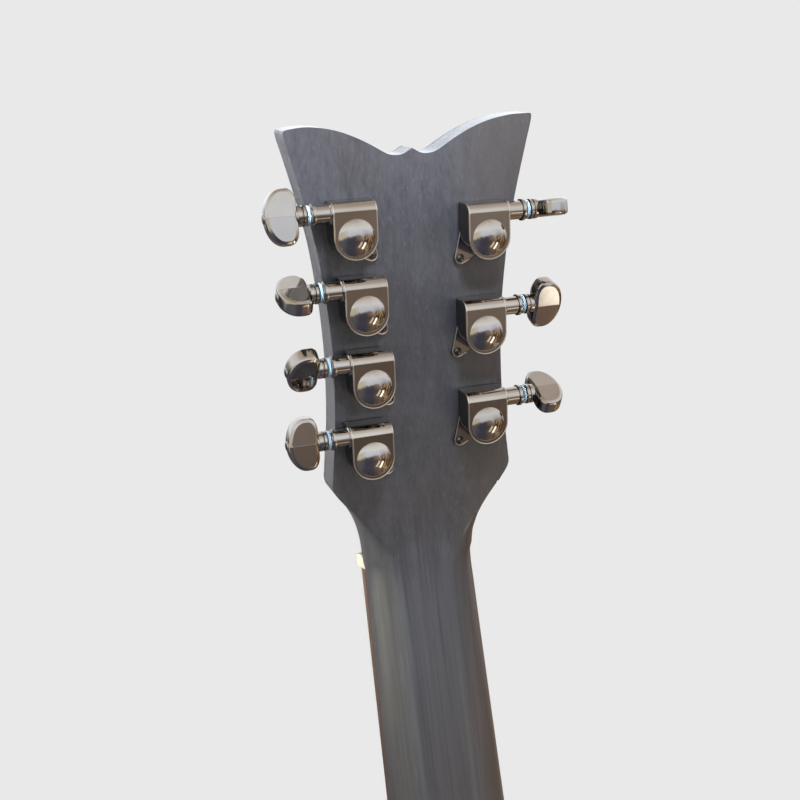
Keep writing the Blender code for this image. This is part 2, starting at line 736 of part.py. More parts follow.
def worm_solid():
    """Worm with three turns of one thread, its rows running along the helix."""
    lead = 2 * pi * (WORM_RISE - (WORM_TIP + WORM_ROOT) / 2) / TEETH
    steps = 8
    turns = 3
    profile = ((-0.25, WORM_ROOT), (-0.08, WORM_TIP), (0.08, WORM_TIP), (0.25, WORM_ROOT))
    rows = turns * len(profile)
    bm = bmesh.new()
    columns = []
    for step in range(steps):
        share = (step - steps // 2) / steps
        angle = 2 * pi * share
        column = []
        for row in range(rows + (len(profile) if step == 0 else 0)):
            offset, radius = profile[row % 4]
            x = lead * (row // 4 - (turns - 1) / 2 + offset + share)
            column.append(bm.verts.new((x, radius * sin(angle), -radius * cos(angle))))
        columns.append(column)
    seam = columns[0][4:]
    for here, following in zip(columns, columns[1:] + [seam]):
        for row in range(rows - 1):
            bm.faces.new((here[row], here[row + 1], following[row + 1], following[row]))
    first = [column[0] for column in columns] + columns[0][4:0:-1]
    last = [column[rows - 1] for column in columns] + columns[0][rows + 3:rows - 1:-1]
    for loop, way in ((first, -1), (last, 1)):
        tip = bm.verts.new((way * lead * (turns / 2 + 0.45), 0, 0))
        for i in range(len(loop)):
            bm.faces.new((loop[i], loop[(i + 1) % len(loop)], tip))
    bmesh.ops.translate(bm, vec=(0, WORM_HEIGHT, WORM_RISE), verts=bm.verts)
    return from_bmesh("worm", bm)


def button_solid(turn):
    """Half-moon button with bevelled rims and faces that meet in a low ridge, turned about the shaft."""
    stations = ((-1.0, 0.3, 0.62, 2.4), (-0.86, 0.1, 0.82, 3.3), (-0.48, 0.01, 0.97, 3.7),
                (0.0, 0.0, 1.0, 4.1))
    stations += tuple((-share, near, far, thick) for share, near, far, thick in reversed(stations[:-1]))
    rings = []
    length = BUTTON_END - BUTTON_START
    bevel = 1.0
    for share, near, far, thick in stations:
        x0 = BUTTON_START + length * near
        x1 = BUTTON_START + length * far
        z = BUTTON_HALF * share
        ring = [(x0 + bevel, thick), (x1 - bevel, thick), (x1, thick - bevel), (x1, bevel - thick),
                (x1 - bevel, -thick), (x0 + bevel, -thick), (x0, bevel - thick), (x0, thick - bevel)]
        rings.append([(x, y, z) for x, y in ring])
    button = loft("button", rings)
    spin = Matrix.Rotation(radians(turn), 4, "X")
    button.data.transform(Matrix.Translation((0, WORM_HEIGHT * MM, WORM_RISE * MM)) @ spin)
    return button


def key_mesh(turn):
    """Key: button, neck, shaft and worm in one piece."""
    axis = (WORM_HEIGHT, WORM_RISE)
    key = button_solid(turn)
    shaft = rod("shaft", (-6.6, *axis), (BUTTON_START + 2, *axis), 1.75, 8)
    journal = rod("journal", (7.6, *axis), (BUTTON_START + 2.4, *axis), 2.25, 8)
    neck = rod("button_neck", (BARREL_END + 1.3, *axis), (BUTTON_START + 1, *axis), 3.5, 8)
    washer = rod("washer", (BARREL_END + GAP, *axis), (BARREL_END + 1.6, *axis), 3.9, 10)
    return settle(join(key, neck, washer, journal, shaft, worm_solid())).data


def post_mesh():
    """String post with its capstan waist, string hole and worm wheel."""
    level = HEAD_THICKNESS + STRING_LEVEL
    tip = -(HEAD_THICKNESS + POST_LENGTH)
    profile = [(0, 9.9), (1.9, 9.9), (POST_RADIUS, 9.2), (POST_RADIUS, -level + 0.6),
               (POST_RADIUS - 0.5, -level - 1.4), (POST_RADIUS - 0.5, -level - 4.6),
               (POST_RADIUS, -level - 7), (POST_RADIUS, tip + 1), (POST_RADIUS - 1.2, tip), (0, tip)]
    post = oriented(turned("post", profile, 10), (0, 1, 0), (0, 0, 0))
    lean = 2 * pi / TEETH * 0.12
    rings = []
    for height, twist in ((4.7, lean), (9.0, -lean)):
        ring = []
        for tooth in range(TEETH):
            middle = pi / 2 + 2 * pi * (tooth + 0.5) / TEETH + twist
            for radius, share in ((WHEEL_ROOT, -0.5), (WHEEL_TIP, -0.12), (WHEEL_TIP, 0.12)):
                angle = middle + share * 2 * pi / TEETH
                ring.append((radius * cos(angle), height, radius * sin(angle)))
        rings.append(ring)
    hole_level = -level - 3.2
    hole = rod("string_hole", (-5, hole_level, 0), (5, hole_level, 0), 0.95, 6)
    return settle(cut(join(post, loft("wheel", rings)), hole)).data


def bushing_mesh():
    """Bushing: washer and hexagon nut on the headstock's front, and the sleeve that holds the post."""
    front = -HEAD_THICKNESS
    washer = rod("washer", (0, front - GAP, 0), (0, front - 1.3, 0), 6.6, 10)
    nut = rod("nut", (0, front - 1.0, 0), (0, front - 3.6, 0), 5.8, 6)
    lip = rod("lip", (0, front - 3.2, 0), (0, front - 4.4, 0), 4.5, 10)
    sleeve = rod("sleeve", (0, -2.5, 0), (0, front - 1.0, 0), 4.65, 10)
    bore = rod("bore", (0, 2, 0), (0, front - 8, 0), 3.35, 10)
    return settle(cut(join(sleeve, washer, nut, lip), bore)).data


def mirrored(mesh):
    copy = mesh.copy()
    copy.transform(Matrix.Scale(-1, 4, (1, 0, 0)))
    copy.flip_normals()
    return copy


def make_tuners():
    """Seven sealed tuners. The bass side's are mirror images of the treble side's."""
    housing = housing_mesh()
    post = post_mesh()
    bushing = bushing_mesh()
    sides = {1: (housing, post, bushing), -1: (mirrored(housing), mirrored(post), mirrored(bushing))}
    for number, ((across, along), turn) in enumerate(zip(POSTS, BUTTON_TURNS), start=1):
        side = 1 if across > 0 else -1
        key = key_mesh(turn)
        if side < 0:
            key = mirrored(key)
        frame = bpy.data.objects.new(f"tuner_frame_{number}", None)
        GUITAR.objects.link(frame)
        frame.parent = HEAD_FRAME
        frame.location = Vector((across, HEAD_THICKNESS, along)) * MM
        pieces = dict(zip(("tuner_housing", "tuner_post", "tuner_bushing"), sides[side]))
        for kind, mesh in pieces.items():
            node = f"{kind}_{number}"
            place(new_object(node, mesh.copy()), node, BLACK_NICKEL, parent=frame)
        node = f"tuner_key_{number}"
        axis_point = Vector((0, WORM_HEIGHT, WORM_RISE)) * MM
        key.transform(Matrix.Translation(-axis_point))
        place(new_object(node, key), node, BLACK_NICKEL, Matrix.Translation(axis_point), frame)


# Body

def make_soundboard():
    """Flat top with its soundhole."""
    hole = arc((0, SOUNDHOLE_Z), SOUNDHOLE_RADIUS, 0, 348.75, 31)
    low = GAP / 2
    place(plate("soundboard", [OUTLINE, hole], low, low + TOP_THICKNESS), "soundboard", SATIN_BLACK)


def make_rim():
    """Bent sides with linings along both edges, thinned where the blocks are glued in."""
    linings = []
    for x, z in OUTLINE:
        at_block = abs(x) < 60 and not -865 < z < -440
        linings.append(SIDE_THICKNESS if at_block else LINING)
    wall = inset(OUTLINE, [SIDE_THICKNESS] * len(OUTLINE))
    ledge = inset(OUTLINE, linings)
    front = TOP_THICKNESS + GAP * 1.5
    rings = []
    for (x, z), (wall_x, wall_z), (ledge_x, ledge_z) in zip(OUTLINE, wall, ledge):
        back = side_depth(z)
        rings.append([(x, front, z), (x, back, z), (ledge_x, side_depth(ledge_z), ledge_z),
                      (wall_x, back - 13, wall_z), (wall_x, front + 13, wall_z), (ledge_x, front, ledge_z)])
    rim = loft("rim", rings, closed=True)
    span = (HOUSING_SPAN[0] - 0.005, HOUSING_SPAN[1] + 0.005)
    depth = (HOUSING_DEPTH[0] - 0.4, HOUSING_DEPTH[1] + 0.4)
    cut(rim, preamp_loft("preamp_opening", span, (-9, 6), depth))
    cut(rim, rod("jack_hole", (0, jack_depth(), -885), (0, jack_depth(), -860), 6.4, 12))
    place(rim, "rim", SATIN_BLACK)


def jack_depth():
    return side_depth(-873) / 2


def make_back():
    """Domed back plate, skinned over outlines that shrink towards the middle."""
    rings = []
    for outer, order in ((True, DOME_SHARES), (False, DOME_SHARES[::-1])):
        for share in order:
            ring = []
            for x, z in OUTLINE:
                px = BODY_CENTRE[0] + (x - BODY_CENTRE[0]) * share
                pz = BODY_CENTRE[1] + (z - BODY_CENTRE[1]) * share
                y = side_depth(pz) + GAP + dome_rise(share)
                ring.append((px, y + (BACK_THICKNESS if outer else 0.0), pz))
            rings.append(ring)
    back = loft("back_plate", rings)
    cut(back, rod("button_hole", (0, 70, STRAP_BUTTON_Z), (0, 100, STRAP_BUTTON_Z), 2.4, 6))
    place(back, "back_plate", SATIN_BLACK)


STRAP_BUTTON_Z = -396.0


def make_blocks():
    """Neck block and tail block inside the body."""
    front = TOP_THICKNESS + GAP * 1.5
    top, bottom = JOINT_Z - SIDE_THICKNESS - 1.0, -428.0
    rings = []
    for z in (top, bottom):
        back = side_depth(z) + 0.1
        rings.append([(-36, front, z), (32.3, front, z), (32.3, back, z), (-36, back, z)])
    neck_block = loft("neck_block", rings)
    cut(neck_block, rod("button_pilot", (0, 60, STRAP_BUTTON_Z), (0, 100, STRAP_BUTTON_Z), 2.4, 6))
    place(neck_block, "neck_block", MAHOGANY)

    floor = inset(OUTLINE, [SIDE_THICKNESS + GAP] * len(OUTLINE))
    edge = sorted((x, z) for x, z in floor if z < -800)
    rings = []
    for x in (-32, -16, 0, 16, 32):
        z = interpolate(edge, x) + 0.1
        back = side_depth(z)
        rings.append([(x, front, z), (x, back, z), (x, side_depth(-850), -850.0), (x, front, -850.0)])
    tail_block = loft("tail_block", rings)
    cut(tail_block, rod("jack_bore", (0, jack_depth(), -885), (0, jack_depth(), -840), 6.4, 12))
    place(tail_block, "tail_block", MAHOGANY)


def brace(name, start, end, width, heights, base):
    """Straight brace on the soundboard: its side profile follows (share, height) pairs."""
    start, end = Vector(start), Vector(end)
    run = end - start
    normal = Vector((-run.y, run.x)).normalized() * width / 2
    rings = []
    for share, height in heights:
        ring = []
        for out, level in ((1, base), (-1, base), (-0.5, base + height), (0.5, base + height)):
            spot = start + run * share + normal * out
            ring.append((spot.x, level, spot.y))
        rings.append(ring)
    return loft(name, rings)


def make_top_bracing():
    """Scalloped X brace with its transverse bar, soundhole strips, tone bars and bridge plate."""
    base = TOP_THICKNESS + GAP * 1.5
    scallop = ((0, 3), (0.1, 6), (0.3, 12), (0.5, 14), (0.7, 9), (0.86, 11), (1, 3))
    crossing = Vector((0, -592))
    reach_up, reach_down = Vector((100, 86)), Vector((146, -126))
    down = Vector((-reach_down.x, reach_down.y))
    first = brace("x_brace_1", crossing + reach_up, crossing + down, 8, scallop, base)
    second = brace("x_brace_2", crossing + Vector((-reach_up.x, reach_up.y)), crossing + reach_down, 7.6,
                   scallop, base)
    level = ((0, 4), (0.15, 13), (0.85, 13), (1, 4))
    bar = brace("transverse_bar", (-118, -466), (112, -466), 8, level, base)
    strips = [brace(f"hole_strip_{i}", (x, -464), (x, -548), 11, ((0, 3.6), (1, 3.4)), base)
              for i, x in enumerate((-63, 63))]
    tones = [brace("tone_bar_1", (-72, -655), (62, -772), 6.4, ((0, 4), (0.3, 10), (0.8, 6), (1, 2)), base),
             brace("tone_bar_2", (-112, -690), (18, -812), 6.4, ((0, 4), (0.3, 9), (0.8, 5), (1, 2)), base)]
    outline = [(-80, -656), (80, -656), (112, -702), (-112, -702)]
    bridge_plate = plate("bridge_plate", [outline], base, base + 2.6)
    bracing = join(first, second, bar, *strips, *tones, bridge_plate)
    place(bracing, "top_bracing", SPRUCE)


def make_back_bracing():
    """Ladder braces and the centre strip along the back's joint."""
    gap = 0.6
    pieces = []
    braces = ((-474, -6, 120), (-548, 0, 112), (-650, 0, 144), (-762, 0, 182))
    for number, (z, middle, reach) in enumerate(braces):
        rings = []
        for share in (-1, -0.85, -0.5, 0, 0.5, 0.85, 1):
            x = middle + reach * share
            surface = min(back_inside(x, z - 4), back_inside(x, z + 4)) - gap
            height = 3 if abs(share) == 1 else 12
            rings.append([(x, surface, z - 4), (x, surface, z + 4), (x, surface - height, z + 2),
                          (x, surface - height, z - 2)])
        pieces.append(loft(f"back_brace_{number}", rings))
    rings = []
    for z in (-440, -548, -650, -762, -842):
        surface = back_inside(0, z) - gap
        rings.append([(-8, surface, z), (8, surface, z), (8, surface - 2.2, z), (-8, surface - 2.2, z)])
    bracing = join(loft("centre_strip", rings), *pieces)
    place(bracing, "back_bracing", SPRUCE)


# Bridge

def make_bridge():
    """Pinless bridge: strings come up through it from the back and over the saddle."""
    base = -GAP / 2
    stations = ((-92, 2.6, 9), (-88, 3.2, 12.5), (-54, 3.8, 15), (-45, 8.6, 18), (0, 9.0, 18.5),
                (45, 8.6, 18), (54, 3.8, 15), (88, 3.2, 12.5), (92, 2.6, 9))
    centre = -680.0
    rings = []
    for x, height, reach in stations:
        low, high = centre - reach, centre + reach
        rings.append([(x, base, low), (x, base, high), (x, base - height * 0.45, high),
                      (x, base - height, high - 3.5), (x, base - height, low + 1.5),
                      (x, base - height * 0.8, low)])
    bridge = loft("bridge", rings)
    for index, radius in enumerate(STRING_RADII):
        anchor = anchor_point(index)
        run = (saddle_point(index) - anchor).normalized()
        cut(bridge, rod(f"string_bore_{index}", anchor - run * 4, saddle_point(index), radius + 0.5, 6),
            rod(f"ball_seat_{index}", anchor - run * 6, anchor + run * 2.7, 2.3, 6))
    half = SADDLE_SPREAD / 2 + 5
    slot = box("saddle_slot", (-half - GAP, -12, -1.9), (half + GAP, base - 2.0, 1.9))
    slot.data.transform(saddle_frame())
    cut(bridge, slot)
    place(bridge, "bridge", ROSEWOOD)


def saddle_frame():
    """Place and slant of the saddle."""
    slant = atan2(saddle_z(1) - saddle_z(0), 1.0)
    return Matrix.Translation((0, 0, saddle_z(0) * MM)) @ Matrix.Rotation(-slant, 4, "Y")


def make_saddle():
    """Crowned bone saddle, and the pickup strip that it presses on."""
    half = SADDLE_SPREAD / 2 + 5
    bottom = -GAP / 2 - 2.0 - GAP
    rings = []
    for share in (-1, -0.6, -0.2, 0.2, 0.6, 1):
        x = half * share
        top = SADDLE_STRING_Y + crown_drop(x)
        rings.append([(x, bottom - 1.5, -1.5), (x, bottom - 1.5, 1.5), (x, top + 0.8, 1.5), (x, top, 0.5),
                      (x, top, -0.6), (x, top + 0.8, -1.5)])
    saddle = loft("saddle", rings)
    saddle.data.transform(saddle_frame())
    place(saddle, "saddle", BONE)
    strip = box("pickup_strip", (-half + 2, bottom - 1.2, -1.3), (half - 2, bottom, 1.3))
    strip.data.transform(saddle_frame())
    place(strip, "pickup_strip", BLACK_PLASTIC)


# Electronics and strap buttons

def make_endpin_jack():
    """Jack in the tail block whose outside is the tail's strap button."""
    profile = [(0, 34), (5.6, 34), (5.6, 25.6), (8.4, 25.6), (8.4, 23.6), (5.9, 23.6), (5.9, -GAP),
               (9.4, -GAP), (9.4, -1.5), (6.2, -2.2), (6.2, -8.6), (8.8, -9.8), (8.8, -11.8), (8.1, -12.5),
               (3.5, -12.5), (3.5, 24), (0, 24)]
    jack = turned("endpin_jack", profile, 12)
    jack.data.transform(Matrix.Translation(Vector((0, jack_depth(), -873)) * MM))
    place(jack, "endpin_jack", STEEL)


def make_strap_button():
    """Strap button screwed through the back into the neck block."""
    seat = back_inside(0, STRAP_BUTTON_Z) + BACK_THICKNESS + 0.5
    profile = [(0, 12), (5.6, 12), (6.6, 11), (6.6, 9.2), (3.4, 7.4), (3.2, 3.4), (5.0, 1.2), (5.0, 0),
               (1.9, 0), (1.9, -14), (0.4, -17), (0, -17)]
    button = turned("strap_button", profile, 10)
    oriented(button, (0, 1, 0), (0, seat, STRAP_BUTTON_Z))
    place(button, "strap_button", STEEL)


def make_preamp():
    """Preamp in the bass side: curved panel, closed circuit housing and open battery well."""
    panel = preamp_loft("preamp_panel", PANEL_SPAN, (GAP, 2.5), PANEL_DEPTH)
    housing = preamp_loft("circuit_housing", HOUSING_SPAN, (-29, 1.2), HOUSING_DEPTH)
    join(panel, housing)
    x, z, outward = preamp_point(BATTERY_AT, 0)
    well = box("battery_well", (-23, 19.6, -BATTERY[2] / 2 - 0.8), (4, 69.0, BATTERY[2] / 2 + 0.8))
    well.data.transform(battery_frame())
    door_opening = preamp_loft("door_opening", (DOOR_SPAN[0] - 0.006, DOOR_SPAN[1] + 0.006), (0.4, 6),
                               (DOOR_DEPTH[0] - 0.5, DOOR_DEPTH[1] + 0.5))
    cut(panel, well, door_opening)
    for name, (share, depth) in KNOB_PLACES.items():
        cut(panel, side_rod(name + "_bore", share, depth, -5, 6, 1.95, 8))
    cut(panel, side_rod("button_bore", *TUNER_BUTTON_PLACE, -3.4, 6, 3.7, 10))
    place(panel, "preamp_panel", BLACK_PLASTIC)
    low = (-BATTERY[0] - 4.6, 20.1, -BATTERY[2] / 2)
    battery = box("battery", low, (-4.6, 20.1 + BATTERY[1], BATTERY[2] / 2))
    battery.data.transform(battery_frame())
    place(battery, "battery", STEEL)


def battery_frame():
    """Frame of the battery well: X out of the side, Y to the back, Z along the side."""
    x, z, outward = preamp_point(BATTERY_AT, 0)
    turn = atan2(-outward.y, outward.x)
    return Matrix.Translation((x * MM, 0, z * MM)) @ Matrix.Rotation(turn, 4, "Y")


def side_rod(name, share, depth, low, high, radius, sides):
    """Cylinder standing square on the bass side, between two heights."""
    x0, z0, _ = preamp_point(share, low)
    x1, z1, _ = preamp_point(share, high)
    return rod(name, (x0, depth, z0), (x1, depth, z1), radius, sides)


def make_controls():
    """Rotary knobs, the tuner's push button and the battery door."""
    for name, (share, depth) in KNOB_PLACES.items():
        x, z, outward = preamp_point(share, 2.5)
        profile = [(0, 9), (4.9, 9), (5.6, 8.4), (6.2, 0.6), (1.6, 0.6), (1.6, -6), (0, -6)]
        knob = turned(name, profile, 10)
        place(oriented(knob, (outward.x, 0, outward.y), (x, depth, z)), name, BLACK_PLASTIC)
    share, depth = TUNER_BUTTON_PLACE
    place(side_rod("tuner_button", share, depth, -1.9, 4.2, 3.2, 12), "tuner_button", BLACK_PLASTIC)
    door = preamp_loft("battery_door", DOOR_SPAN, (0.7, 2.5), DOOR_DEPTH)
    x, z, _ = preamp_point(DOOR_SPAN[1], 2.5)
    place(door, "battery_door", BLACK_PLASTIC)
    shift_origin(door, (x, (DOOR_DEPTH[0] + DOOR_DEPTH[1]) / 2, z))


make_neck()
make_headplate()
make_truss_rod()
make_fingerboard()
make_nut()
make_tuners()
make_strings()
make_soundboard()
make_rim()
make_back()
make_blocks()
make_top_bracing()
make_back_bracing()
make_bridge()
make_saddle()
make_endpin_jack()
make_strap_button()
make_preamp()
make_controls()
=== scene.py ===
"""Finished look of a seven-string acoustic-electric guitar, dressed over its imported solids.

Everything shares the solids' frame: +Z up the neck, -Y the front with the strings, +X the treble side, and
the origin at the nut's lower edge. Sizes in the classes are millimetres; finished meshes are in metres.
"""

import logging
from dataclasses import dataclass
from enum import Enum
from math import atan2, cos, hypot, pi, radians, sin, sqrt, tan
from typing import Callable, Iterable, NamedTuple, Optional, Sequence, Union

import bmesh
import bpy
from mathutils import Matrix, Vector
from mathutils.geometry import interpolate_bezier


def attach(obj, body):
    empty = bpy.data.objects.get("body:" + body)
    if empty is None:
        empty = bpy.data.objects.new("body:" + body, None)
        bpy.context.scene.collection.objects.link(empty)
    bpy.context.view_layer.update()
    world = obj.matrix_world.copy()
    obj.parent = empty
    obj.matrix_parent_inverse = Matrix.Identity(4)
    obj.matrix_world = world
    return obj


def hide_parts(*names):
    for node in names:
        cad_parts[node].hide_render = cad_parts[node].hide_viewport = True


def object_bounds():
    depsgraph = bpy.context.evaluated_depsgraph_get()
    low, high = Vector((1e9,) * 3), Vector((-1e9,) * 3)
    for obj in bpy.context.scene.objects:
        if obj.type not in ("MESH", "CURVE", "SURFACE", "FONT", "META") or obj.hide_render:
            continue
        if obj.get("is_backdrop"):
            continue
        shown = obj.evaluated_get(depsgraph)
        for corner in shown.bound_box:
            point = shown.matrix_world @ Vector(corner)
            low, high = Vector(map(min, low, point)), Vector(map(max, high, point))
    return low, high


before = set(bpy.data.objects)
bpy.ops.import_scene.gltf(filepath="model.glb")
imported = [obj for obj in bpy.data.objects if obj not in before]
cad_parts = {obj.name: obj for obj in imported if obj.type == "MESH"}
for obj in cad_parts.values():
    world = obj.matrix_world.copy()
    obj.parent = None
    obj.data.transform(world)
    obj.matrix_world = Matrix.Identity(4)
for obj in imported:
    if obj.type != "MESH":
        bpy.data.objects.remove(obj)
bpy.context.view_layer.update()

logging.basicConfig(level=logging.INFO, format="%(name)s: %(message)s")
log = logging.getLogger("guitar")

MM = 0.001
ROOT = "guitar"
# Distance at which vertices join: in millimetres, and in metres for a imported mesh
WELD = 1e-4
NODE_WELD = 2e-6
# Least angle of an edge that stays crisp, in degrees, and of one that can be rounded, in radians
SHARP = 34.0
FOLD = 0.7
# Turns that lay a form spun round Z along X, or raise it along Y
ALONG_X = Matrix.Rotation(pi / 2, 4, "Y")
ALONG_Y = Matrix.Rotation(-pi / 2, 4, "X")

Point = Sequence[float]
Outline = list[tuple[float, float]]
Value = Union["Signal", float, Point]
Chosen = Callable[[bmesh.types.BMEdge], bool]


# Shader arithmetic

def operator(name: str, swapped: bool = False) -> Callable[["Signal", Value], "Signal"]:
    """Make a Signal's method that adds one Math node; swapped puts the other value first."""

    def method(self: "Signal", other: Value) -> "Signal":
        """Combine with another signal or number."""
        first, second = (other, self) if swapped else (self, other)
        return self.recipe.node("ShaderNodeMath", {"operation": name}, {0: first, 1: second})

    return method


@dataclass(frozen=True)
class Signal:
    """Output of a shader node that takes part in Python arithmetic."""

    recipe: "Recipe"
    socket: bpy.types.NodeSocket
    __add__ = operator("ADD")
    __radd__ = operator("ADD", swapped=True)
    __sub__ = operator("SUBTRACT")
    __rsub__ = operator("SUBTRACT", swapped=True)
    __mul__ = operator("MULTIPLY")

    def between(self, low: float, high: float) -> "Signal":
        """Spread the values from low to high over 0 to 1, smoothly, and hold them outside."""
        return self.recipe.node("ShaderNodeMapRange", {"interpolation_type": "SMOOTHSTEP"},
                                {"Value": self, "From Min": low, "From Max": high})


class Recipe:
    """Node tree of one material, or of the world."""

    def __init__(self, name: str, tree: Optional[bpy.types.NodeTree] = None) -> None:
        """Start from a bare Principled shader, or from another tree."""
        self.tree = tree
        if tree is None:
            self.material = bpy.data.materials.new(name)
            self.material.use_nodes = True
            self.tree = self.material.node_tree
            self.shader = self.tree.nodes["Principled BSDF"]

    def node(self, kind: str, settings: Optional[dict] = None, inputs: Optional[dict] = None,
             output: Optional[int] = 0) -> Optional[Signal]:
        """Add any node.

        Args:
            kind: Blender's type name.
            settings: the node's own options; "stops" fills a colour ramp.
            inputs: values or signals by socket name or number.
            output: number of the socket that is handed back, if any.

        Returns:
            The node's output.
        """
        made = self.tree.nodes.new(kind)
        for key, value in (settings or {}).items():
            if key == "stops":
                for position, _ in value[:-2]:
                    made.color_ramp.elements.new(position)
                for element, (position, colour) in zip(made.color_ramp.elements, value):
                    element.position = position
                    element.color = (*colour, 1)
            else:
                setattr(made, key, value)
        for key, value in (inputs or {}).items():
            self.link(made.inputs[key], value)
        return None if output is None else Signal(self, made.outputs[output])

    def link(self, socket: bpy.types.NodeSocket, value: Value) -> None:
        """Feed a socket with a signal or set its own value."""
        if isinstance(value, Signal):
            self.tree.links.new(value.socket, socket)
        elif socket.type == "RGBA" and len(value) == 3:
            socket.default_value = (*value, 1.0)
        else:
            socket.default_value = value

    def position(self, scale: Point = (1, 1, 1), turn: Point = (0, 0, 0)) -> Signal:
        """Object coordinates, stretched and turned."""
        place = self.node("ShaderNodeTexCoord", output=3)
        return self.node("ShaderNodeMapping", {}, {"Vector": place, "Rotation": turn, "Scale": scale})

    def facing(self, axis: int) -> Signal:
        """One coordinate of the surface's normal."""
        return self.part(self.node("ShaderNodeTexCoord", output=1), axis)

    def noise(self, place: Signal, scale: float, detail: float = 3.0, roughness: float = 0.5) -> Signal:
        """Cloudy noise from 0 to 1."""
        return self.node("ShaderNodeTexNoise", {},
                         {"Vector": place, "Scale": scale, "Detail": detail, "Roughness": roughness})

    def part(self, place: Signal, axis: int) -> Signal:
        """One coordinate of a place."""
        return self.node("ShaderNodeSeparateXYZ", {}, {0: place}, output=axis)

    def mix(self, share: Value, first: Value, second: Value) -> Signal:
        """Blend two colours."""
        return self.node("ShaderNodeMix", {"data_type": "RGBA"}, {0: share, 6: first, 7: second}, output=2)

    def bump(self, height: Signal, strength: float, distance: float) -> Signal:
        """Normal of a surface raised by a signal, distance in metres."""
        return self.node("ShaderNodeBump", {},
                         {"Height": height, "Strength": strength, "Distance": distance})

    def surface(self, sockets: dict) -> bpy.types.Material:
        """Feed the Principled shader's sockets and hand over the material."""
        for key, value in sockets.items():
            self.link(self.shader.inputs[key], value)
        return self.material


class Finish(NamedTuple):
    """Material and the name of its slot."""

    material: bpy.types.Material
    slot: str


class Look:
    """Kind of finish; each kind paints its own shader."""

    def paint(self, recipe: Recipe) -> dict:
        """Work out what feeds the shader's sockets."""
        raise NotImplementedError

    def finish(self, name: str, slot: str) -> Finish:
        """Build the material for a slot."""
        recipe = Recipe(name)
        return Finish(recipe.surface(self.paint(recipe)), slot)


class Grain(Enum):
    """Direction in which wood's fibres run."""

    UP = (1.0, 1.0, 0.02)
    ACROSS = (0.02, 1.0, 1.0)


@dataclass(frozen=True)
class StainedWood(Look):
    """Satin see-through stain over wood whose fine fibres still show."""

    dark: Point = (0.017, 0.017, 0.021)
    light: Point = (0.053, 0.053, 0.059)
    warm: Point = (0.060, 0.042, 0.030)
    fleck: Point = (0.10, 0.10, 0.11)
    painted_warm_light: float = 0.0
    tilt: float = 0.0
    roughness: float = 0.4

    def paint(self, recipe: Recipe) -> dict:
        """Streaks along the grain, broad bands, faint pores, and painted warm light on the bass side."""
        along = recipe.position(Grain.UP.value, (self.tilt, 0, 0))
        streaks = recipe.noise(along, 900.0, 4.0, 0.62)
        bands = recipe.noise(along, 210.0, 2.0)
        cloud = recipe.noise(recipe.position(), 14.0)
        tone = (streaks * 0.55 + bands * 0.3 + cloud * 0.3).between(0.36, 0.8)
        colour = recipe.mix(tone, self.dark, self.light)
        patches = recipe.noise(recipe.position((1, 1, 0.3)), 9.0, 2.0).between(0.45, 0.75)
        # Painted warm light: towards -X, the bass side, the colour is tinted warm as if lit from there
        lit_bass_side = recipe.part(recipe.position(), 0).between(-0.008, -0.034)
        tinted = recipe.mix(patches * 0.3 + lit_bass_side * self.painted_warm_light, colour, self.warm)
        pores = recipe.noise(along, 2600.0, 2.0).between(0.58, 0.72)
        flecks = recipe.noise(along, 1500.0, 2.0).between(0.62, 0.74)
        shade = recipe.mix(pores * 0.35, tinted, tuple(c * 0.6 for c in self.dark))
        shade = recipe.mix(flecks * 0.4, shade, self.fleck)
        end = recipe.facing(2).between(0.6, 0.85)
        rough = (self.roughness + streaks * 0.16 + cloud * 0.06 - 0.03) * (1.0 - end * 0.7)
        normal = recipe.bump(streaks * 0.6 + pores * -0.5, 0.12, 0.00012)
        return {"Base Color": shade, "Roughness": rough, "Normal": normal, "IOR": 1.75,
                "Coat Weight": 0.42 + tone * 0.75 + patches * 0.2, "Coat Roughness": 0.26}


@dataclass(frozen=True)
class BareWood(Look):
    """Unstained or oiled wood with growth lines."""

    dark: Point
    light: Point
    grain: Grain = Grain.UP
    line_scale: float = 380.0
    roughness: float = 0.55
    pores: float = 0.4

    def paint(self, recipe: Recipe) -> dict:
        """Growth lines bent by noise, with open pores."""
        along = recipe.position(self.grain.value)
        bend = recipe.noise(along, 30.0, 2.0)
        lines = recipe.noise(along, self.line_scale, 5.0, 0.7)
        tone = (lines * 0.8 + bend * 0.4).between(0.35, 0.85)
        colour = recipe.mix(tone, self.dark, self.light)
        pores = recipe.noise(along, 1900.0, 2.0).between(0.56, 0.7)
        shade = recipe.mix(pores * self.pores, colour, tuple(c * 0.45 for c in self.dark))
        return {"Base Color": shade, "Roughness": self.roughness + lines * 0.12,
                "Normal": recipe.bump(lines - pores, 0.25, 0.00015)}


@dataclass(frozen=True)
class PlatedMetal(Look):
    """Polished plating with faint smears from handling."""

    colour: Point = (0.46, 0.42, 0.375)
    deep: Point = (0.41, 0.365, 0.32)
    roughness: float = 0.05
    smear: float = 0.07
    painted_flank_shade: float = 0.0

    def paint(self, recipe: Recipe) -> dict:
        """Tint that drifts, smears that roughen it, and painted shade on the flanks that face along X."""
        place = recipe.position()
        drift = recipe.noise(place, 55.0, 2.0).between(0.3, 0.7)
        wiped = recipe.position((1, 1, 0.4), (0.4, 0.3, 0))
        smears = recipe.noise(wiped, 420.0, 4.0, 0.7).between(0.5, 0.8)
        colour = recipe.mix(drift, self.deep, self.colour)
        # Painted shade: faces turned along X are darkened towards a fifth of the deep tint
        across = recipe.facing(0)
        shaded_flanks = (across * across).between(0.8, 0.97)
        colour = recipe.mix(shaded_flanks * self.painted_flank_shade, colour, tuple(c * 0.2 for c in self.deep))
        return {"Base Color": colour, "Metallic": 1.0, "Roughness": self.roughness + smears * self.smear,
                "Normal": recipe.bump(recipe.noise(place, 160.0, 1.0), 0.02, 0.0004)}


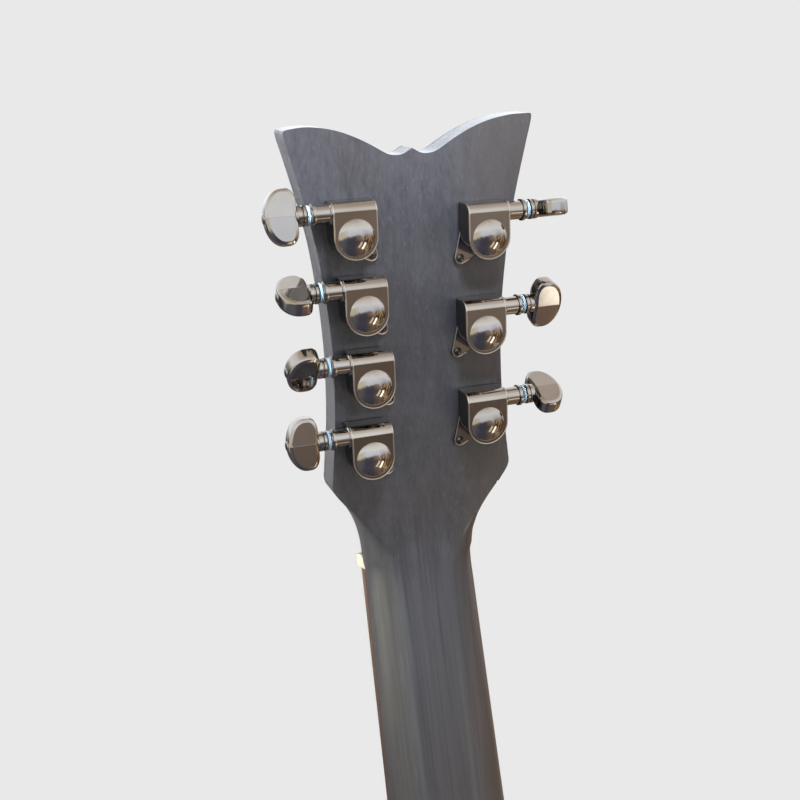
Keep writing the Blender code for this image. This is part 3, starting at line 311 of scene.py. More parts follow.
@dataclass(frozen=True)
class Moulded(Look):
    """Plastic, bone or nylon with a fine surface."""

    colour: Point
    second: Point
    roughness: float = 0.4
    bump: float = 0.05
    scale: float = 700.0
    coat: float = 0.0

    def paint(self, recipe: Recipe) -> dict:
        """Mottled colour and a fine texture."""
        place = recipe.position()
        mottle = recipe.noise(place, 90.0, 4.0).between(0.35, 0.7)
        texture = recipe.noise(place, self.scale)
        return {"Base Color": recipe.mix(mottle, self.colour, self.second),
                "Roughness": self.roughness + texture * 0.12,
                "Normal": recipe.bump(texture, self.bump, 0.0002), "Coat Weight": self.coat}


@dataclass(frozen=True)
class WoundWire(Look):
    """String with its wrap: fine turns across its run."""

    colour: Point = (0.62, 0.45, 0.26)
    groove_shade: Point = (0.25, 0.16, 0.09)
    turns_per_mm: float = 3.2

    def paint(self, recipe: Recipe) -> dict:
        """Bands along the string, with painted shade between turns."""
        height = recipe.part(recipe.position(), 2)
        wave = recipe.node("ShaderNodeMath", {"operation": "SINE"},
                           {0: height * (self.turns_per_mm * 2 * pi / MM)})
        # Painted shade: where the ridge mask is low, between turns, the colour is darker
        ridge = (wave * 0.5 + 0.5).between(0.05, 0.6)
        return {"Base Color": recipe.mix(ridge, self.groove_shade, self.colour), "Metallic": 1.0,
                "Roughness": 0.42 - ridge * 0.14, "Normal": recipe.bump(ridge, 0.4, 0.00005)}


class Finishes:
    """Every finish of the guitar, made once."""

    def __init__(self, tilt: float) -> None:
        """Build the finishes; tilt turns the headstock's grain with its wood."""
        wood, nickel, plastic = "satin_black_wood", "black_nickel", "black_plastic"
        box = StainedWood(roughness=0.36)
        # The neck's bass side gets painted warm light
        self.neck = StainedWood(painted_warm_light=0.35).finish("satin_black_neck", wood)
        self.body = box.finish("satin_black_body", wood)
        self.sides = box.finish("satin_black_sides", wood)
        self.plate = StainedWood((0.03, 0.03, 0.034), (0.055, 0.055, 0.06), tilt=tilt, roughness=0.3
                                 ).finish("satin_black_plate", wood)
        self.rosewood = BareWood((0.034, 0.021, 0.015), (0.092, 0.058, 0.041)
                                 ).finish("rosewood_board", "rosewood")
        self.bridge_wood = BareWood((0.045, 0.026, 0.018), (0.13, 0.075, 0.05), Grain.ACROSS
                                    ).finish("rosewood_bridge", "rosewood")
        self.spruce = BareWood((0.62, 0.44, 0.24), (0.8, 0.64, 0.42), pores=0.1
                               ).finish("spruce_bracing", "spruce")
        self.mahogany = BareWood((0.24, 0.11, 0.055), (0.42, 0.22, 0.12)
                                 ).finish("mahogany_blocks", "mahogany")
        # The tuners' nickel carries painted shade on its flanks
        self.nickel = PlatedMetal(painted_flank_shade=0.8).finish("smoky_nickel", nickel)
        self.screw = PlatedMetal((0.17, 0.16, 0.16), (0.1,) * 3, 0.22, 0.1).finish("dark_screw", nickel)
        # Painted highlight: the raised rims are plated in a paler, rougher copy of the nickel, standing in
        # for the bright lines of light along them
        self.rim = PlatedMetal((0.74, 0.66, 0.56), (0.62, 0.54, 0.45), 0.3, 0.1).finish("painted_rim_highlight", nickel)
        self.steel = PlatedMetal((0.6,) * 3, (0.5,) * 3, 0.2, 0.12).finish("plain_steel", "steel")
        self.fret = PlatedMetal((0.72, 0.7, 0.66), (0.6, 0.58, 0.54), 0.14, 0.1
                                ).finish("fret_wire", "steel")
        self.nylon = Moulded((0.34, 0.46, 0.53), (0.42, 0.53, 0.59), 0.5, 0.03
                             ).finish("nylon_washer", "bone")
        self.bone = Moulded((0.42, 0.4, 0.3), (0.5, 0.475, 0.37), 0.36, 0.04, coat=0.1
                            ).finish("bone", "bone")
        self.plastic = Moulded((0.018, 0.018, 0.02), (0.03, 0.03, 0.032), 0.42, 0.12, 1500.0
                               ).finish("black_plastic", plastic)
        self.binding = Moulded((0.02,) * 3, (0.03,) * 3, 0.25, 0.02).finish("black_binding", plastic)
        self.purfling = Moulded((0.82, 0.8, 0.72), (0.9, 0.88, 0.8), 0.35, 0.02
                                ).finish("white_purfling", "bone")
        self.pearl = Moulded((0.7, 0.74, 0.76), (0.9, 0.88, 0.84), 0.18, 0.02, 60.0, 0.5
                             ).finish("pearl_dots", "bone")
        self.battery = Moulded((0.3, 0.3, 0.32), (0.36, 0.36, 0.38), 0.3, 0.03
                               ).finish("battery_can", "battery_case")
        self.wound = WoundWire().finish("bronze_wound", "string_metal")
        self.plain = PlatedMetal((0.7, 0.69, 0.66), (0.62, 0.6, 0.58), 0.2, 0.1
                                 ).finish("plain_wire", "string_metal")
        self.led = Moulded((0.5, 0.03, 0.02), (0.6, 0.05, 0.03), 0.15, 0.01, coat=1.0
                           ).finish("red_lens", plastic)


# Mesh work

def only(kind: type, items: Iterable) -> list:
    """Pick out one kind of mesh element."""
    return [item for item in items if isinstance(item, kind)]


class Form:
    """Mesh under construction, in millimetres. Each method hands the form back unless it says otherwise."""

    def __init__(self) -> None:
        """Start with nothing."""
        self.bm = bmesh.new()

    @classmethod
    def of_mesh(cls, mesh: bpy.types.Mesh, weld: float = 0.0) -> "Form":
        """Copy a mesh in metres, with vertices closer than a distance joined."""
        form = cls()
        form.bm.from_mesh(mesh)
        if weld:
            form.weld(weld)
        return form.scale(1 / MM)

    @classmethod
    def of_node(cls, node: str) -> "Form":
        """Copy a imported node's mesh and join its loose triangles."""
        return cls.of_mesh(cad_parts[node].data, NODE_WELD)

    def weld(self, distance: float = WELD) -> "Form":
        """Join vertices that lie together."""
        bmesh.ops.remove_doubles(self.bm, verts=self.bm.verts, dist=distance)
        return self

    def scale(self, factor: float) -> "Form":
        """Scale about the origin."""
        bmesh.ops.scale(self.bm, vec=(factor,) * 3, verts=self.bm.verts)
        return self

    def move(self, matrix: Matrix) -> "Form":
        """Move by a matrix."""
        self.bm.transform(matrix)
        return self

    def turn_out(self) -> "Form":
        """Turn every face outwards."""
        bmesh.ops.recalc_face_normals(self.bm, faces=self.bm.faces)
        return self

    def skin(self, sections: Sequence[Sequence[Point]], closed: bool = False) -> "Form":
        """Extrude a ring of edges through sections of equal counts.

        Args:
            sections: closed loops of points, in order.
            closed: whether the last section joins the first; otherwise both ends are capped.
        """
        bm = self.bm
        first = bmesh.ops.create_circle(bm, segments=len(sections[0]), radius=1.0)["verts"]
        ring = first
        for vertex, point in zip(ring, sections[0]):
            vertex.co = point
        for points in [*sections[1:], *([sections[0]] if closed else [])]:
            edges = [bm.edges.get(pair) for pair in zip(ring, ring[1:] + ring[:1])]
            made = bmesh.ops.extrude_edge_only(bm, edges=edges)["geom"]
            fresh = set(only(bmesh.types.BMVert, made))
            ring = [next(edge.other_vert(vertex) for edge in vertex.link_edges
                         if edge.other_vert(vertex) in fresh) for vertex in ring]
            for vertex, point in zip(ring, points):
                vertex.co = point
        if closed:
            bmesh.ops.remove_doubles(bm, verts=first + ring, dist=WELD)
        else:
            for end in (first, ring):
                bmesh.ops.contextual_create(bm, geom=end)
        return self

    def turned(self, profile: Sequence[Point], steps: int = 32) -> "Form":
        """Spin a profile of (radius, height) pairs round Z."""
        verts = [self.bm.verts.new((radius, 0, height)) for radius, height in profile]
        edges = [self.bm.edges.new(pair) for pair in zip(verts, verts[1:])]
        bmesh.ops.spin(self.bm, geom=verts + edges, cent=(0, 0, 0), axis=(0, 0, 1), dvec=(0, 0, 0),
                       angle=2 * pi, steps=steps, use_merge=True)
        return self.weld()

    def rod(self, start: Point, end: Point, radius: float, sides: int = 32) -> "Form":
        """Add a cylinder between two points."""
        first, last = Vector(start), Vector(end)
        axis = last - first
        turn = axis.to_track_quat("Z", "Y").to_matrix().to_4x4()
        bmesh.ops.create_cone(self.bm, cap_ends=True, segments=sides, radius1=radius, radius2=radius,
                              depth=axis.length, matrix=Matrix.Translation((first + last) / 2) @ turn)
        return self

    def box(self, low: Point, high: Point) -> "Form":
        """Add a box between two corners."""
        size = Matrix.Diagonal((*(b - a for a, b in zip(low, high)), 1.0))
        centre = Matrix.Translation([(a + b) / 2 for a, b in zip(low, high)])
        bmesh.ops.create_cube(self.bm, size=1.0, matrix=centre @ size)
        return self

    def lines(self, runs: Sequence[Sequence[Point]], closed: bool, **settings: Union[str, float]) -> "Form":
        """Add the mesh of a curve that runs straight from point to point.

        Args:
            runs: the points of each line.
            closed: whether the lines end where they start.
            settings: the curve's own options.
        """
        curve = bpy.data.curves.new("line", "CURVE")
        for key, value in settings.items():
            setattr(curve, key, value)
        for run in runs:
            line = curve.splines.new("POLY")
            line.points.add(len(run) - 1)
            for point, place in zip(line.points, run):
                point.co = (*place, 1)
            line.use_cyclic_u = closed
        holder = bpy.data.objects.new("line", curve)
        self.bm.from_mesh(holder.to_mesh())
        holder.to_mesh_clear()
        bpy.data.objects.remove(holder)
        return self.weld()

    def wire(self, points: Sequence[Point], radius: float, sides: int = 2) -> "Form":
        """Add a round bead that runs through points, with closed ends."""
        return self.lines([points], False, dimensions="3D", bevel_depth=radius, bevel_resolution=sides,
                          use_fill_caps=True)

    def plate(self, outlines: Sequence[Outline], low: float, high: float, soften: float = 0.0) -> "Form":
        """Add a flat outline in X and Z, with holes after it, made solid between two levels of Y.

        Args:
            outlines: the outer outline, then any holes.
            low: the front level.
            high: the back level.
            soften: radius of the front rims' rounding.
        """
        runs = [[(x, z, 0) for x, z in outline] for outline in outlines]
        face = Form().lines(runs, True, dimensions="2D", fill_mode="FRONT")
        for vertex in face.bm.verts:
            vertex.co = (vertex.co.x, low, vertex.co.y)
        rise = bmesh.ops.extrude_face_region(face.bm, geom=face.bm.faces[:])["geom"]
        bmesh.ops.translate(face.bm, vec=(0, high - low, 0), verts=only(bmesh.types.BMVert, rise))
        face.turn_out()
        if soften:
            face.soften(lambda edge: all(abs(v.co.y - low) < WELD for v in edge.verts), soften)
        return self.add(face)

    def soften(self, chosen: Chosen, radius: float, segments: int = 3) -> "Form":
        """Round the chosen edges where two faces meet sharply."""
        self.turn_out()
        edges = [edge for edge in self.bm.edges
                 if len(edge.link_faces) == 2 and edge.calc_face_angle(0) > FOLD and chosen(edge)]
        bmesh.ops.bevel(self.bm, geom=edges, offset=radius, segments=segments, profile=0.5, affect="EDGES",
                        material=-1, clamp_overlap=True)
        return self

    def add(self, other: "Form") -> "Form":
        """Take in another form."""
        mesh = bpy.data.meshes.new("passing")
        other.bm.to_mesh(mesh)
        other.bm.free()
        self.bm.from_mesh(mesh)
        bpy.data.meshes.remove(mesh)
        return self

    def cut(self, point: Point, outward: Point, **settings: bool) -> dict:
        """Cut every face that a plane crosses and hand back the operator's result."""
        geometry = self.bm.verts[:] + self.bm.edges[:] + self.bm.faces[:]
        return bmesh.ops.bisect_plane(self.bm, geom=geometry, dist=1e-5, plane_co=point, plane_no=outward,
                                      **settings)

    def keep(self, point: Point, outward: Point) -> "Form":
        """Cut at a plane, drop what lies outward, and close the cut."""
        made = self.cut(point, outward, clear_outer=True)["geom_cut"]
        bmesh.ops.holes_fill(self.bm, edges=only(bmesh.types.BMEdge, made))
        return self

    def finish(self, name: str, sharp: float = SHARP) -> bpy.types.Object:
        """Turn the form into an object in metres with smooth shading.

        Args:
            name: the object's name.
            sharp: least angle, in degrees, of an edge that stays crisp.

        Returns:
            The object, at the origin.
        """
        self.weld().scale(MM).turn_out()
        for face in self.bm.faces:
            face.smooth = True
        for edge in self.bm.edges:
            if len(edge.link_faces) == 2 and edge.calc_face_angle(0) > radians(sharp):
                edge.smooth = False
        mesh = bpy.data.meshes.new(name)
        self.bm.to_mesh(mesh)
        self.bm.free()
        return link(name, mesh)


def link(name: str, data: bpy.types.ID) -> bpy.types.Object:
    """Make an object of a mesh, lamp or camera in the scene."""
    obj = bpy.data.objects.new(name, data)
    bpy.context.scene.collection.objects.link(obj)
    return obj


def settle(obj: bpy.types.Object) -> None:
    """Apply an object's modifiers."""
    depsgraph = bpy.context.evaluated_depsgraph_get()
    mesh = bpy.data.meshes.new_from_object(obj.evaluated_get(depsgraph))
    obj.modifiers.clear()
    obj.data = mesh


def boolean(obj: bpy.types.Object, operation: str, tools: Iterable[Form], sharp: float = SHARP) -> None:
    """Join or cut an object with forms, at once.

    Args:
        obj: the mesh that is changed.
        operation: UNION or DIFFERENCE.
        tools: closed forms in millimetres.
        sharp: least angle of a crisp edge.
    """
    helpers = [tool.finish("tool") for tool in tools]
    for helper in helpers:
        modifier = obj.modifiers.new(operation, "BOOLEAN")
        modifier.operation = operation
        modifier.object = helper
    settle(obj)
    for helper in helpers:
        bpy.data.objects.remove(helper)
    obj.data.shade_smooth()
    obj.data.set_sharp_from_angle(angle=radians(sharp))


def dress(mesh: bpy.types.Mesh, material: bpy.types.Material) -> None:
    """Give a mesh its only material."""
    mesh.materials.clear()
    mesh.materials.append(material)


def hand_over(obj: bpy.types.Object, finish: Finish, *stands_for: str, body: str = ROOT) -> None:
    """Dress a finished piece and let it ride.

    Args:
        obj: the piece.
        finish: its material and slot.
        stands_for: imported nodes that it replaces.
        body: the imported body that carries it.
    """
    # Large faces rule the shading of the corners that they share with small ones
    obj.modifiers.new("weigh", "WEIGHTED_NORMAL").keep_sharp = True
    settle(obj)
    material, slot = finish
    dress(obj.data, material)
    if stands_for:
        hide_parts(*stands_for)
    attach(obj, body)
    log.info("%s rides on %s", obj.name, body)


def refine(node: str, name: str, finish: Finish, body: str = ROOT, sharp: float = SHARP) -> None:
    """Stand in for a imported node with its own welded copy, smoothly shaded."""
    hand_over(Form.of_node(node).finish(name, sharp), finish, node, body=body)


def spline(points: Sequence[Point], steps: int, knots: Optional[Sequence[float]] = None) -> list[tuple]:
    """Pass a smooth curve through rows of numbers.

    Args:
        points: the rows it passes through.
        steps: pieces between two rows.
        knots: how far along each row lies; chord lengths where left out.

    Returns:
        The sampled rows.
    """
    rows = [Vector(point) for point in points]
    if knots is None:
        knots = [0.0]
        for first, second in zip(rows, rows[1:]):
            knots.append(knots[-1] + max((second - first).length, 1e-6) ** 0.6)
    gaps = [t - s for s, t in zip(knots, knots[1:])]
    slopes = [(b - a) / gap for a, b, gap in zip(rows, rows[1:], gaps)]
    tangents = [slopes[0]]
    for low, high, before, after in zip(slopes, slopes[1:], gaps, gaps[1:]):
        tangents.append((low * after + high * before) / (before + after))
    tangents.append(slopes[-1])
    result = []
    for i, gap in enumerate(gaps):
        for step in range(steps):
            t = step / steps
            result.append(tuple(rows[i] * (1 + 2 * t) * (1 - t) ** 2 + tangents[i] * gap * t * (1 - t) ** 2
                                + rows[i + 1] * t * t * (3 - 2 * t)
                                + tangents[i + 1] * gap * t * t * (t - 1)))
    return result + [tuple(rows[-1])]


def arc(centre: Point, radius: float, start: float, end: float, steps: int) -> Outline:
    """Points of a circle's arc, angles in degrees."""
    turns = [radians(start + (end - start) * i / steps) for i in range(steps + 1)]
    return [(centre[0] + radius * cos(a), centre[1] + radius * sin(a)) for a in turns]


def ring_outline(centre: Point, radius: float, steps: int = 96) -> Outline:
    """Points round a whole circle."""
    return arc(centre, radius, 0, 360 - 360 / steps, steps - 1)


# Headstock and neck

@dataclass(frozen=True)
class Headstock:
    """Tilted headstock: its frame, outline and tuner places."""

    tilt: float = radians(15.7)
    nut_length: float = 6.5
    thickness: float = 13.9
    plate: float = 1.5
    gap: float = 0.3
    slab_start: float = 30.0
    edge_round: float = 0.9
    hole_radius: float = 5.0
    lean: float = 1.2
    side: tuple = (
        (0, 24.5), (7.5, 25.2), (16.2, 27.2), (23.2, 30.2), (30.2, 34.8), (36.4, 39.0), (38.8, 39.5),
        (42, 39.2), (50, 38.4), (60, 37.3), (72, 36.6), (84, 36.3), (97, 36.4), (112, 37.3), (124, 38.6),
        (138, 40.5), (150, 42.9), (162, 45.8), (172, 48.4), (181.4, 50.7))
    top: tuple = (
        (50.5, 182.4), (49.5, 182.8), (46, 183.3), (42, 183.5), (35.5, 182.8), (29, 181.2), (22.5, 178.6),
        (16.3, 175.4), (12, 172.8), (9.5, 171.6), (7, 171.1), (4, 171.3), (1.7, 172.4), (0, 173.4))
    posts: tuple = (
        (24.6, 52.8), (22.9, 82.7), (24.4, 112.5), (27.4, 142.4), (-27.3, 137.7), (-25.2, 99.2),
        (-25.3, 60.6))

    @property
    def matrix(self) -> Matrix:
        """Frame of the headstock, in millimetres: X across, Y back from its front, Z along it."""
        return Matrix.Translation((0, 0, self.nut_length)) @ Matrix.Rotation(-self.tilt, 4, "X")

    @property
    def front(self) -> float:
        """Level at which the neck's wood starts behind the face plate."""
        return self.plate + self.gap

    def point(self, across: float, along: float, depth: float) -> Vector:
        """Point of the headstock in the guitar's frame."""
        return self.matrix @ Vector((across, depth, along))

    def half(self, along: float) -> float:
        """Half its width at a level."""
        for (low, first), (high, second) in zip(self.side, self.side[1:]):
            if along <= high:
                return first + (second - first) * (along - low) / (high - low)
        return self.side[-1][1]

    def outline(self, start: float, steps: int = 5) -> Outline:
        """Closed smooth outline from a level upwards; the bass horn leans up a little."""
        rows = [(self.half(start), start)]
        rows += [(half, along) for along, half in self.side if along > start + 0.5]
        right = spline(rows + list(self.top), steps)
        return right + [(-across, along + self.lean * (across / 50) ** 8)
                        for across, along in reversed(right[:-1])]


@dataclass(frozen=True)
class Neck:
    """Neck, heel and headstock wood in one piece."""

    head: Headstock
    nut_width: float = 48.0
    taper: float = 0.0332
    depth: float = 15.0
    thickening: float = 0.004
    heel_depth: float = 79.4
    shaft_depth: float = 18.0
    seat: float = 0.15
    volute: float = 1.6
    volute_length: float = 28.0
    overlap: float = 0.04
    sharp: float = 28.0
    rod_channel: tuple = ((-3.4, -2, -364), (3.4, 9.6, 9))
    rod_pocket: tuple = ((-5.2, -2, 4), (5.2, 11, 33))
    rod_slot: tuple = ((-5.2, 3), (5.2, 3), (5.2, 27), (-5.2, 27))
    cover: tuple = ((6, 4.5), (8.5, 9), (8.8, 14), (7.4, 20), (4.8, 26), (3.7, 31), (2.6, 34.2), (0, 35.4))
    cover_levels: tuple = (-2.1, -0.3)
    cover_screws: tuple = (8.6, 31.0)
    cover_screw: tuple = ((0, 0.62), (0.7, 0.58), (1.2, 0.3), (1.35, 0), (1.2, -0.6), (0, -0.6))
    heel: tuple = (
        (-372.7, 79.4), (-363, 79.4), (-361.8, 77), (-360.6, 64), (-358.2, 50), (-354.5, 38), (-348.5, 28.5),
        (-340, 22.4), (-328, 18.8))
    shaft: tuple = ((-300, 5.5), (-180, 5.5), (-60, 6.0), (-26, 6.6), (-11, 7.7))
    throat: tuple = (
        (0.5, 11.0, 2.0), (4, 12.8, 2.2), (8, 15.4, 2.6), (11.5, 18.4, 3.2), (15.5, 21.8, 4.2),
        (20, 25.4, 6.0), (25, 29.8, 8.6), (29, 33.2, 10.8))

    def half(self, z: float) -> float:
        """Half the neck's width at a place along it."""
        return self.nut_width / 2 - self.taper / 2 * z

    def back(self, z: float) -> float:
        """Back of the neck, flowing into the plane of the headstock's back."""
        head = self.head
        own = self.depth - self.thickening * z
        plane = head.thickness / cos(head.tilt) + (z - head.nut_length) * tan(head.tilt)
        return (own + plane) / 2 + sqrt(((own - plane) / 2) ** 2 + self.volute ** 2)

    def ring(self, row: Point, steps: int = 15) -> list[Vector]:
        """Section of the neck: flat front, straight sides, round corners and the back's flat.

        Args:
            row: front y and z, back y and z, half width, half the flat, straight side, corners' power.
            steps: facets of a round corner.

        Returns:
            The section's points.
        """
        front_y, front_z, back_y, back_z, half, flat, side, power = row
        run_y, run_z = back_y - front_y, back_z - front_z
        depth = hypot(run_y, run_z)
        quarter = [(half, 0.0)]
        for k in range(steps + 1):
            turn = pi / 2 * k / steps
            quarter.append((flat + (half - flat) * cos(turn) ** power,
                            side + (depth - side) * sin(turn) ** power))
        return [Vector((x, front_y + run_y * d / depth, front_z + run_z * d / depth))
                for x, d in quarter + [(-x, d) for x, d in reversed(quarter)]]

    def stations(self) -> tuple[list[float], list[tuple]]:
        """Rows that the sections run through, from the heel up, with their places."""
        head = self.head
        knots = [z for z, _ in self.heel + self.shaft] + [-1.0, 5.0]
        rows: list[tuple] = []
        for z, deep in self.heel:
            share = (deep - self.shaft_depth) / (self.heel_depth - self.shaft_depth)
            rows.append((self.seat, z, deep, z, self.half(z), 6 + 4 * share, 1.5, 1 + 0.35 * share))
        for z, flat in self.shaft:
            rows.append((self.seat, z, self.back(z), z, self.half(z), flat, 1.5, 1.0))
        rows.append((self.seat, 0, self.back(-4), -4, self.half(0), 9.0, 1.6, 1.0))
        rows.append((self.seat, 6.1, self.back(1), 1, head.half(0), 10.6, 1.8, 1.0))
        for along, flat, side in self.throat:
            near = head.point(0, along, head.front)
            far = head.point(0, along, head.thickness)
            knots.append(near.z)
            share = min(along / self.volute_length, 1.0)
            swell = (self.back(far.z) - far.y) * (1 - share * share * (3 - 2 * share))
            rows.append((near.y, near.z, far.y + swell, far.z, head.half(along), flat, side, 1.0))
        return knots, rows

    def build(self, finishes: Finishes) -> None:
        """Model the wood, cut the rod's channel and the tuners' holes, and dress it."""
        head = self.head
        knots, rows = self.stations()
        last = len(self.heel) - 1
        rows = rows[:last] + spline(rows[last:], 6, knots[last:])
        # The last section ends inside the headstock's slab, a hair under its faces
        near, far = (head.point(0, head.slab_start + 0.6, depth)
                     for depth in (head.front + self.overlap, head.thickness - self.overlap))
        half = head.half(head.slab_start) - self.overlap
        side = head.thickness - head.front - head.edge_round - 0.1
        rows.append((*near.yz, *far.yz, half, half - head.edge_round, side, 1.0))
        neck = Form().skin([self.ring(row) for row in rows]).finish("neck_wood", self.sharp)
        slab = Form().plate([head.outline(head.slab_start)], head.front, head.thickness)
        slab.soften(lambda edge: all(v.co.y > head.thickness - 1e-3 for v in edge.verts)
                    and not all(v.co.z < head.slab_start + 1e-3 for v in edge.verts), head.edge_round, 4)
        boolean(neck, "UNION", [slab.move(head.matrix)], self.sharp)
        cutters = [Form().rod(head.point(*post, -3), head.point(*post, 20), head.hole_radius, 24)
                   for post in head.posts]
        cutters += [Form().box(*corners) for corners in (self.rod_channel, self.rod_pocket)]
        boolean(neck, "DIFFERENCE", cutters, self.sharp)
        hand_over(neck, finishes.neck, "neck")

    def build_plate(self, finishes: Finishes) -> None:
        """Model the headstock's face plate and the cover over the rod's nut."""
        head = self.head
        holes = [ring_outline(post, head.hole_radius, 32) for post in head.posts]
        outlines = [head.outline(0.5), self.rod_slot, *holes]
        face = Form().plate(outlines, 0.0, head.plate, 0.35).move(head.matrix)
        hand_over(face.finish("face_plate", self.sharp), finishes.plate, "headplate")
        curve = spline(self.cover, 6)
        cover = Form().plate([curve + [(-x, z) for x, z in reversed(curve[:-1])]], *self.cover_levels, 0.6)
        for z in self.cover_screws:
            place = Matrix.Translation((0, self.cover_levels[0], z)) @ Matrix.Rotation(pi / 2, 4, "X")
            cover.add(Form().turned(self.cover_screw, 20).move(place))
        hand_over(cover.move(head.matrix).finish("rod_cover"), finishes.plastic, "truss_rod_cover")


# Tuners

@dataclass(frozen=True)
class Tuner:
    """One sealed tuner, modelled about its post on the headstock's back: X outwards, Y back, Z along."""

    radius: float = 8.75
    top: float = 13.6
    height: float = 11.6
    shoulder: float = 4.6
    base: float = 0.3
    worm_rise: float = 9.3
    worm_height: float = 7.0
    barrel_end: float = 16.7
    button_start: float = 22.0
    button_end: float = 34.3
    button_half: float = 10.7
    lug: float = 8.7
    lug_screw: float = 8.8
    lug_hole_radius: float = 1.3
    bore_radius: float = 2.6
    side_wall: float = 1.05
    top_wall: float = 0.7
    roof: float = 1.0
    inner_shoulder: float = 3.6
    sharp: float = 32.0
    turns: tuple = (6, -38, 69, 14, 99, -20, 64)
    barrel: tuple = (
        (3.75, 16.3), (4.35, 16.1), (4.4, 15.8), (4.4, 15.2), (4.3, 14.95), (3.7, 14.8), (3.7, 9.5),
        (4.0, 9.35), (4.3, 9.2), (4.4, 8.9), (4.4, 8.2), (0, 8.2))
    cap: tuple = (
        (0, 14.4), (1.3, 14.34), (2.6, 14.15), (3.8, 13.82), (4.9, 13.38), (5.9, 12.83), (6.7, 12.25),
        (7.2, 11.8), (7.4, 11.45), (7.45, 10.9), (0, 10.9))
    stem: tuple = (
        (0, 24.0), (3.0, 24.0), (3.2, 22.6), (3.5, 22.1), (3.9, 21.8), (4.0, 21.5), (4.0, 20.35),
        (3.85, 20.2), (3.5, 20.1), (3.5, 19.85), (3.9, 19.75), (4.1, 19.6), (4.1, 18.7), (3.95, 18.5),
        (3.7, 18.4), (2.25, 18.3))
    button_screw: tuple = ((0, 0.55), (1.3, 0.5), (1.9, 0.25), (2.1, -0.1), (2.1, -1.2), (0, -1.2))
    nylon: tuple = (
        (2.4, 18.2), (3.5, 18.2), (3.8, 18.0), (3.85, 17.5), (3.8, 17.05), (3.5, 16.85), (2.4, 16.85),
        (2.4, 18.2))
    lug_head: tuple = (
        (0, 0.95), (0.8, 0.88), (1.3, 0.66), (1.6, 0.25), (1.65, 0.0), (1.0, -0.2), (1.0, -3.2), (0, -3.9))
    cross: tuple = ((1.0, 0.2), (0.2, 1.0))

    @property
    def shaft(self) -> Matrix:
        """Frame on the worm's axis."""
        return Matrix.Translation((0, self.worm_height, self.worm_rise))

    def outline(self, level: float, inset: float = 0.0, steps: int = 22) -> list[tuple[float, float, float]]:
        """D-shaped section at a height above the headstock: its top sinks under the round shoulder."""
        top = self.top
        rise = level - (self.height - self.shoulder)
        if rise > 0:
            top = self.top - self.shoulder + sqrt(max(self.shoulder ** 2 - rise ** 2, 0.0))
        side = self.radius - inset
        top -= inset
        corner = 0.5
        points = arc((0, 0), side, 180, 360, steps)
        points += arc((side - corner, top - corner), corner, 0, 90, 3)
        points += arc((corner - side, top - corner), corner, 90, 180, 3)
        return [(x, level, z) for x, z in points]

    def lug_arc(self, radius: float) -> Outline:
        """Round end of the screw lug."""
        return arc((-self.lug, -self.lug), radius, 172, 296, 14)

    def housing(self) -> bpy.types.Object:
        """Model the die-cast housing with its rimmed face, cap, barrel and screw lug."""
        sections = [self.outline(self.base + rise, inset)
                    for rise, inset in ((0, 0.45), (0.25, 0.25), (0.5, 0.0))]
        sections.append(self.outline(7.0))
        for k in range(1, 7):
            level = self.height - self.shoulder + (self.shoulder - 0.25) * sin(pi / 2 * k / 6)
            sections.append(self.outline(level, 0.0 if k < 6 else 0.12))
        sections.append([(x, self.height, z) for x, _, z in self.outline(self.height - 0.25, 0.4)])
        housing = Form().skin(sections).finish("housing", self.sharp)
        end = self.barrel_end
        barrel = Form().turned([(0, end), (3.5, end), (3.75, end - 0.25), *self.barrel], 40)
        barrel.move(self.shaft @ ALONG_X)
        cap = Form().turned(self.cap, 56).move(ALONG_Y)
        tongue = self.lug_arc(2.6) + [(-2.4, -7.8), (-3, -3), (-8.1, 2.4)]
        lug = Form().plate([tongue], self.base + 0.05, 1.5)
        lug.soften(lambda edge: all(v.co.y > 1.4 for v in edge.verts), 0.3, 2)
        boolean(housing, "UNION", [cap, barrel, lug], self.sharp)
        inner = Tuner(radius=self.radius - self.side_wall, top=self.top - self.top_wall,
                      height=self.height - self.roof, shoulder=self.inner_shoulder)
        cavity = Form().skin([inner.outline(level) for level in (-3, 6.9, 8.3, 9.4, 10.3, 10.55)])
        axis = (self.worm_height, self.worm_rise)
        bore = Form().rod((5, *axis), (end + 3, *axis), self.bore_radius, 24)
        at = -self.lug_screw
        screw_hole = Form().rod((at, -2, at), (at, 4, at), self.lug_hole_radius, 16)
        boolean(housing, "DIFFERENCE", [cavity, bore, screw_hole], self.sharp)
        return housing

    def rims(self) -> Form:
        """Model the raised lines, plated paler as a painted highlight: round the D-shaped face and over its
        shoulder, and round the lug.
        """
        reach = self.radius - 0.3
        bend = self.shoulder
        angles = [radians(degrees) for degrees in range(72, 0, -8)]
        rise = [(reach, self.height - bend + bend * cos(angle), self.top - bend + bend * sin(angle))
                for angle in angles]
        bottom = [(x, self.height, z) for x, z in arc((0, 0), reach, 0, -180, 28)]
        lug = [(0.2 - self.radius, 2.0), *self.lug_arc(2.35), (-5.0, -9.6)]
        form = Form().wire(rise + bottom + [(-x, y, z) for x, y, z in reversed(rise)], 0.24, 3)
        return form.add(Form().wire([(x, 1.5, z) for x, z in lug], 0.2))

    def button_outline(self, inset: float, steps: int = 56) -> Outline:
        """Half-moon outline: a full arc outside, and inside a flatter curve that dips at the shaft."""
        middle = self.button_start + 5.0
        points = []
        for k in range(steps):
            turn = 2 * pi * k / steps
            across = cos(turn)
            if across >= 0:
                x = middle + (self.button_end - middle - inset) * across ** 0.95
            else:
                dip = 0.9 * max(-across, 0) ** 8
                x = middle - (middle - self.button_start + 0.9 - dip - inset) * (-across) ** 0.55
            points.append((x, (self.button_half - inset) * sin(turn)))
        return points

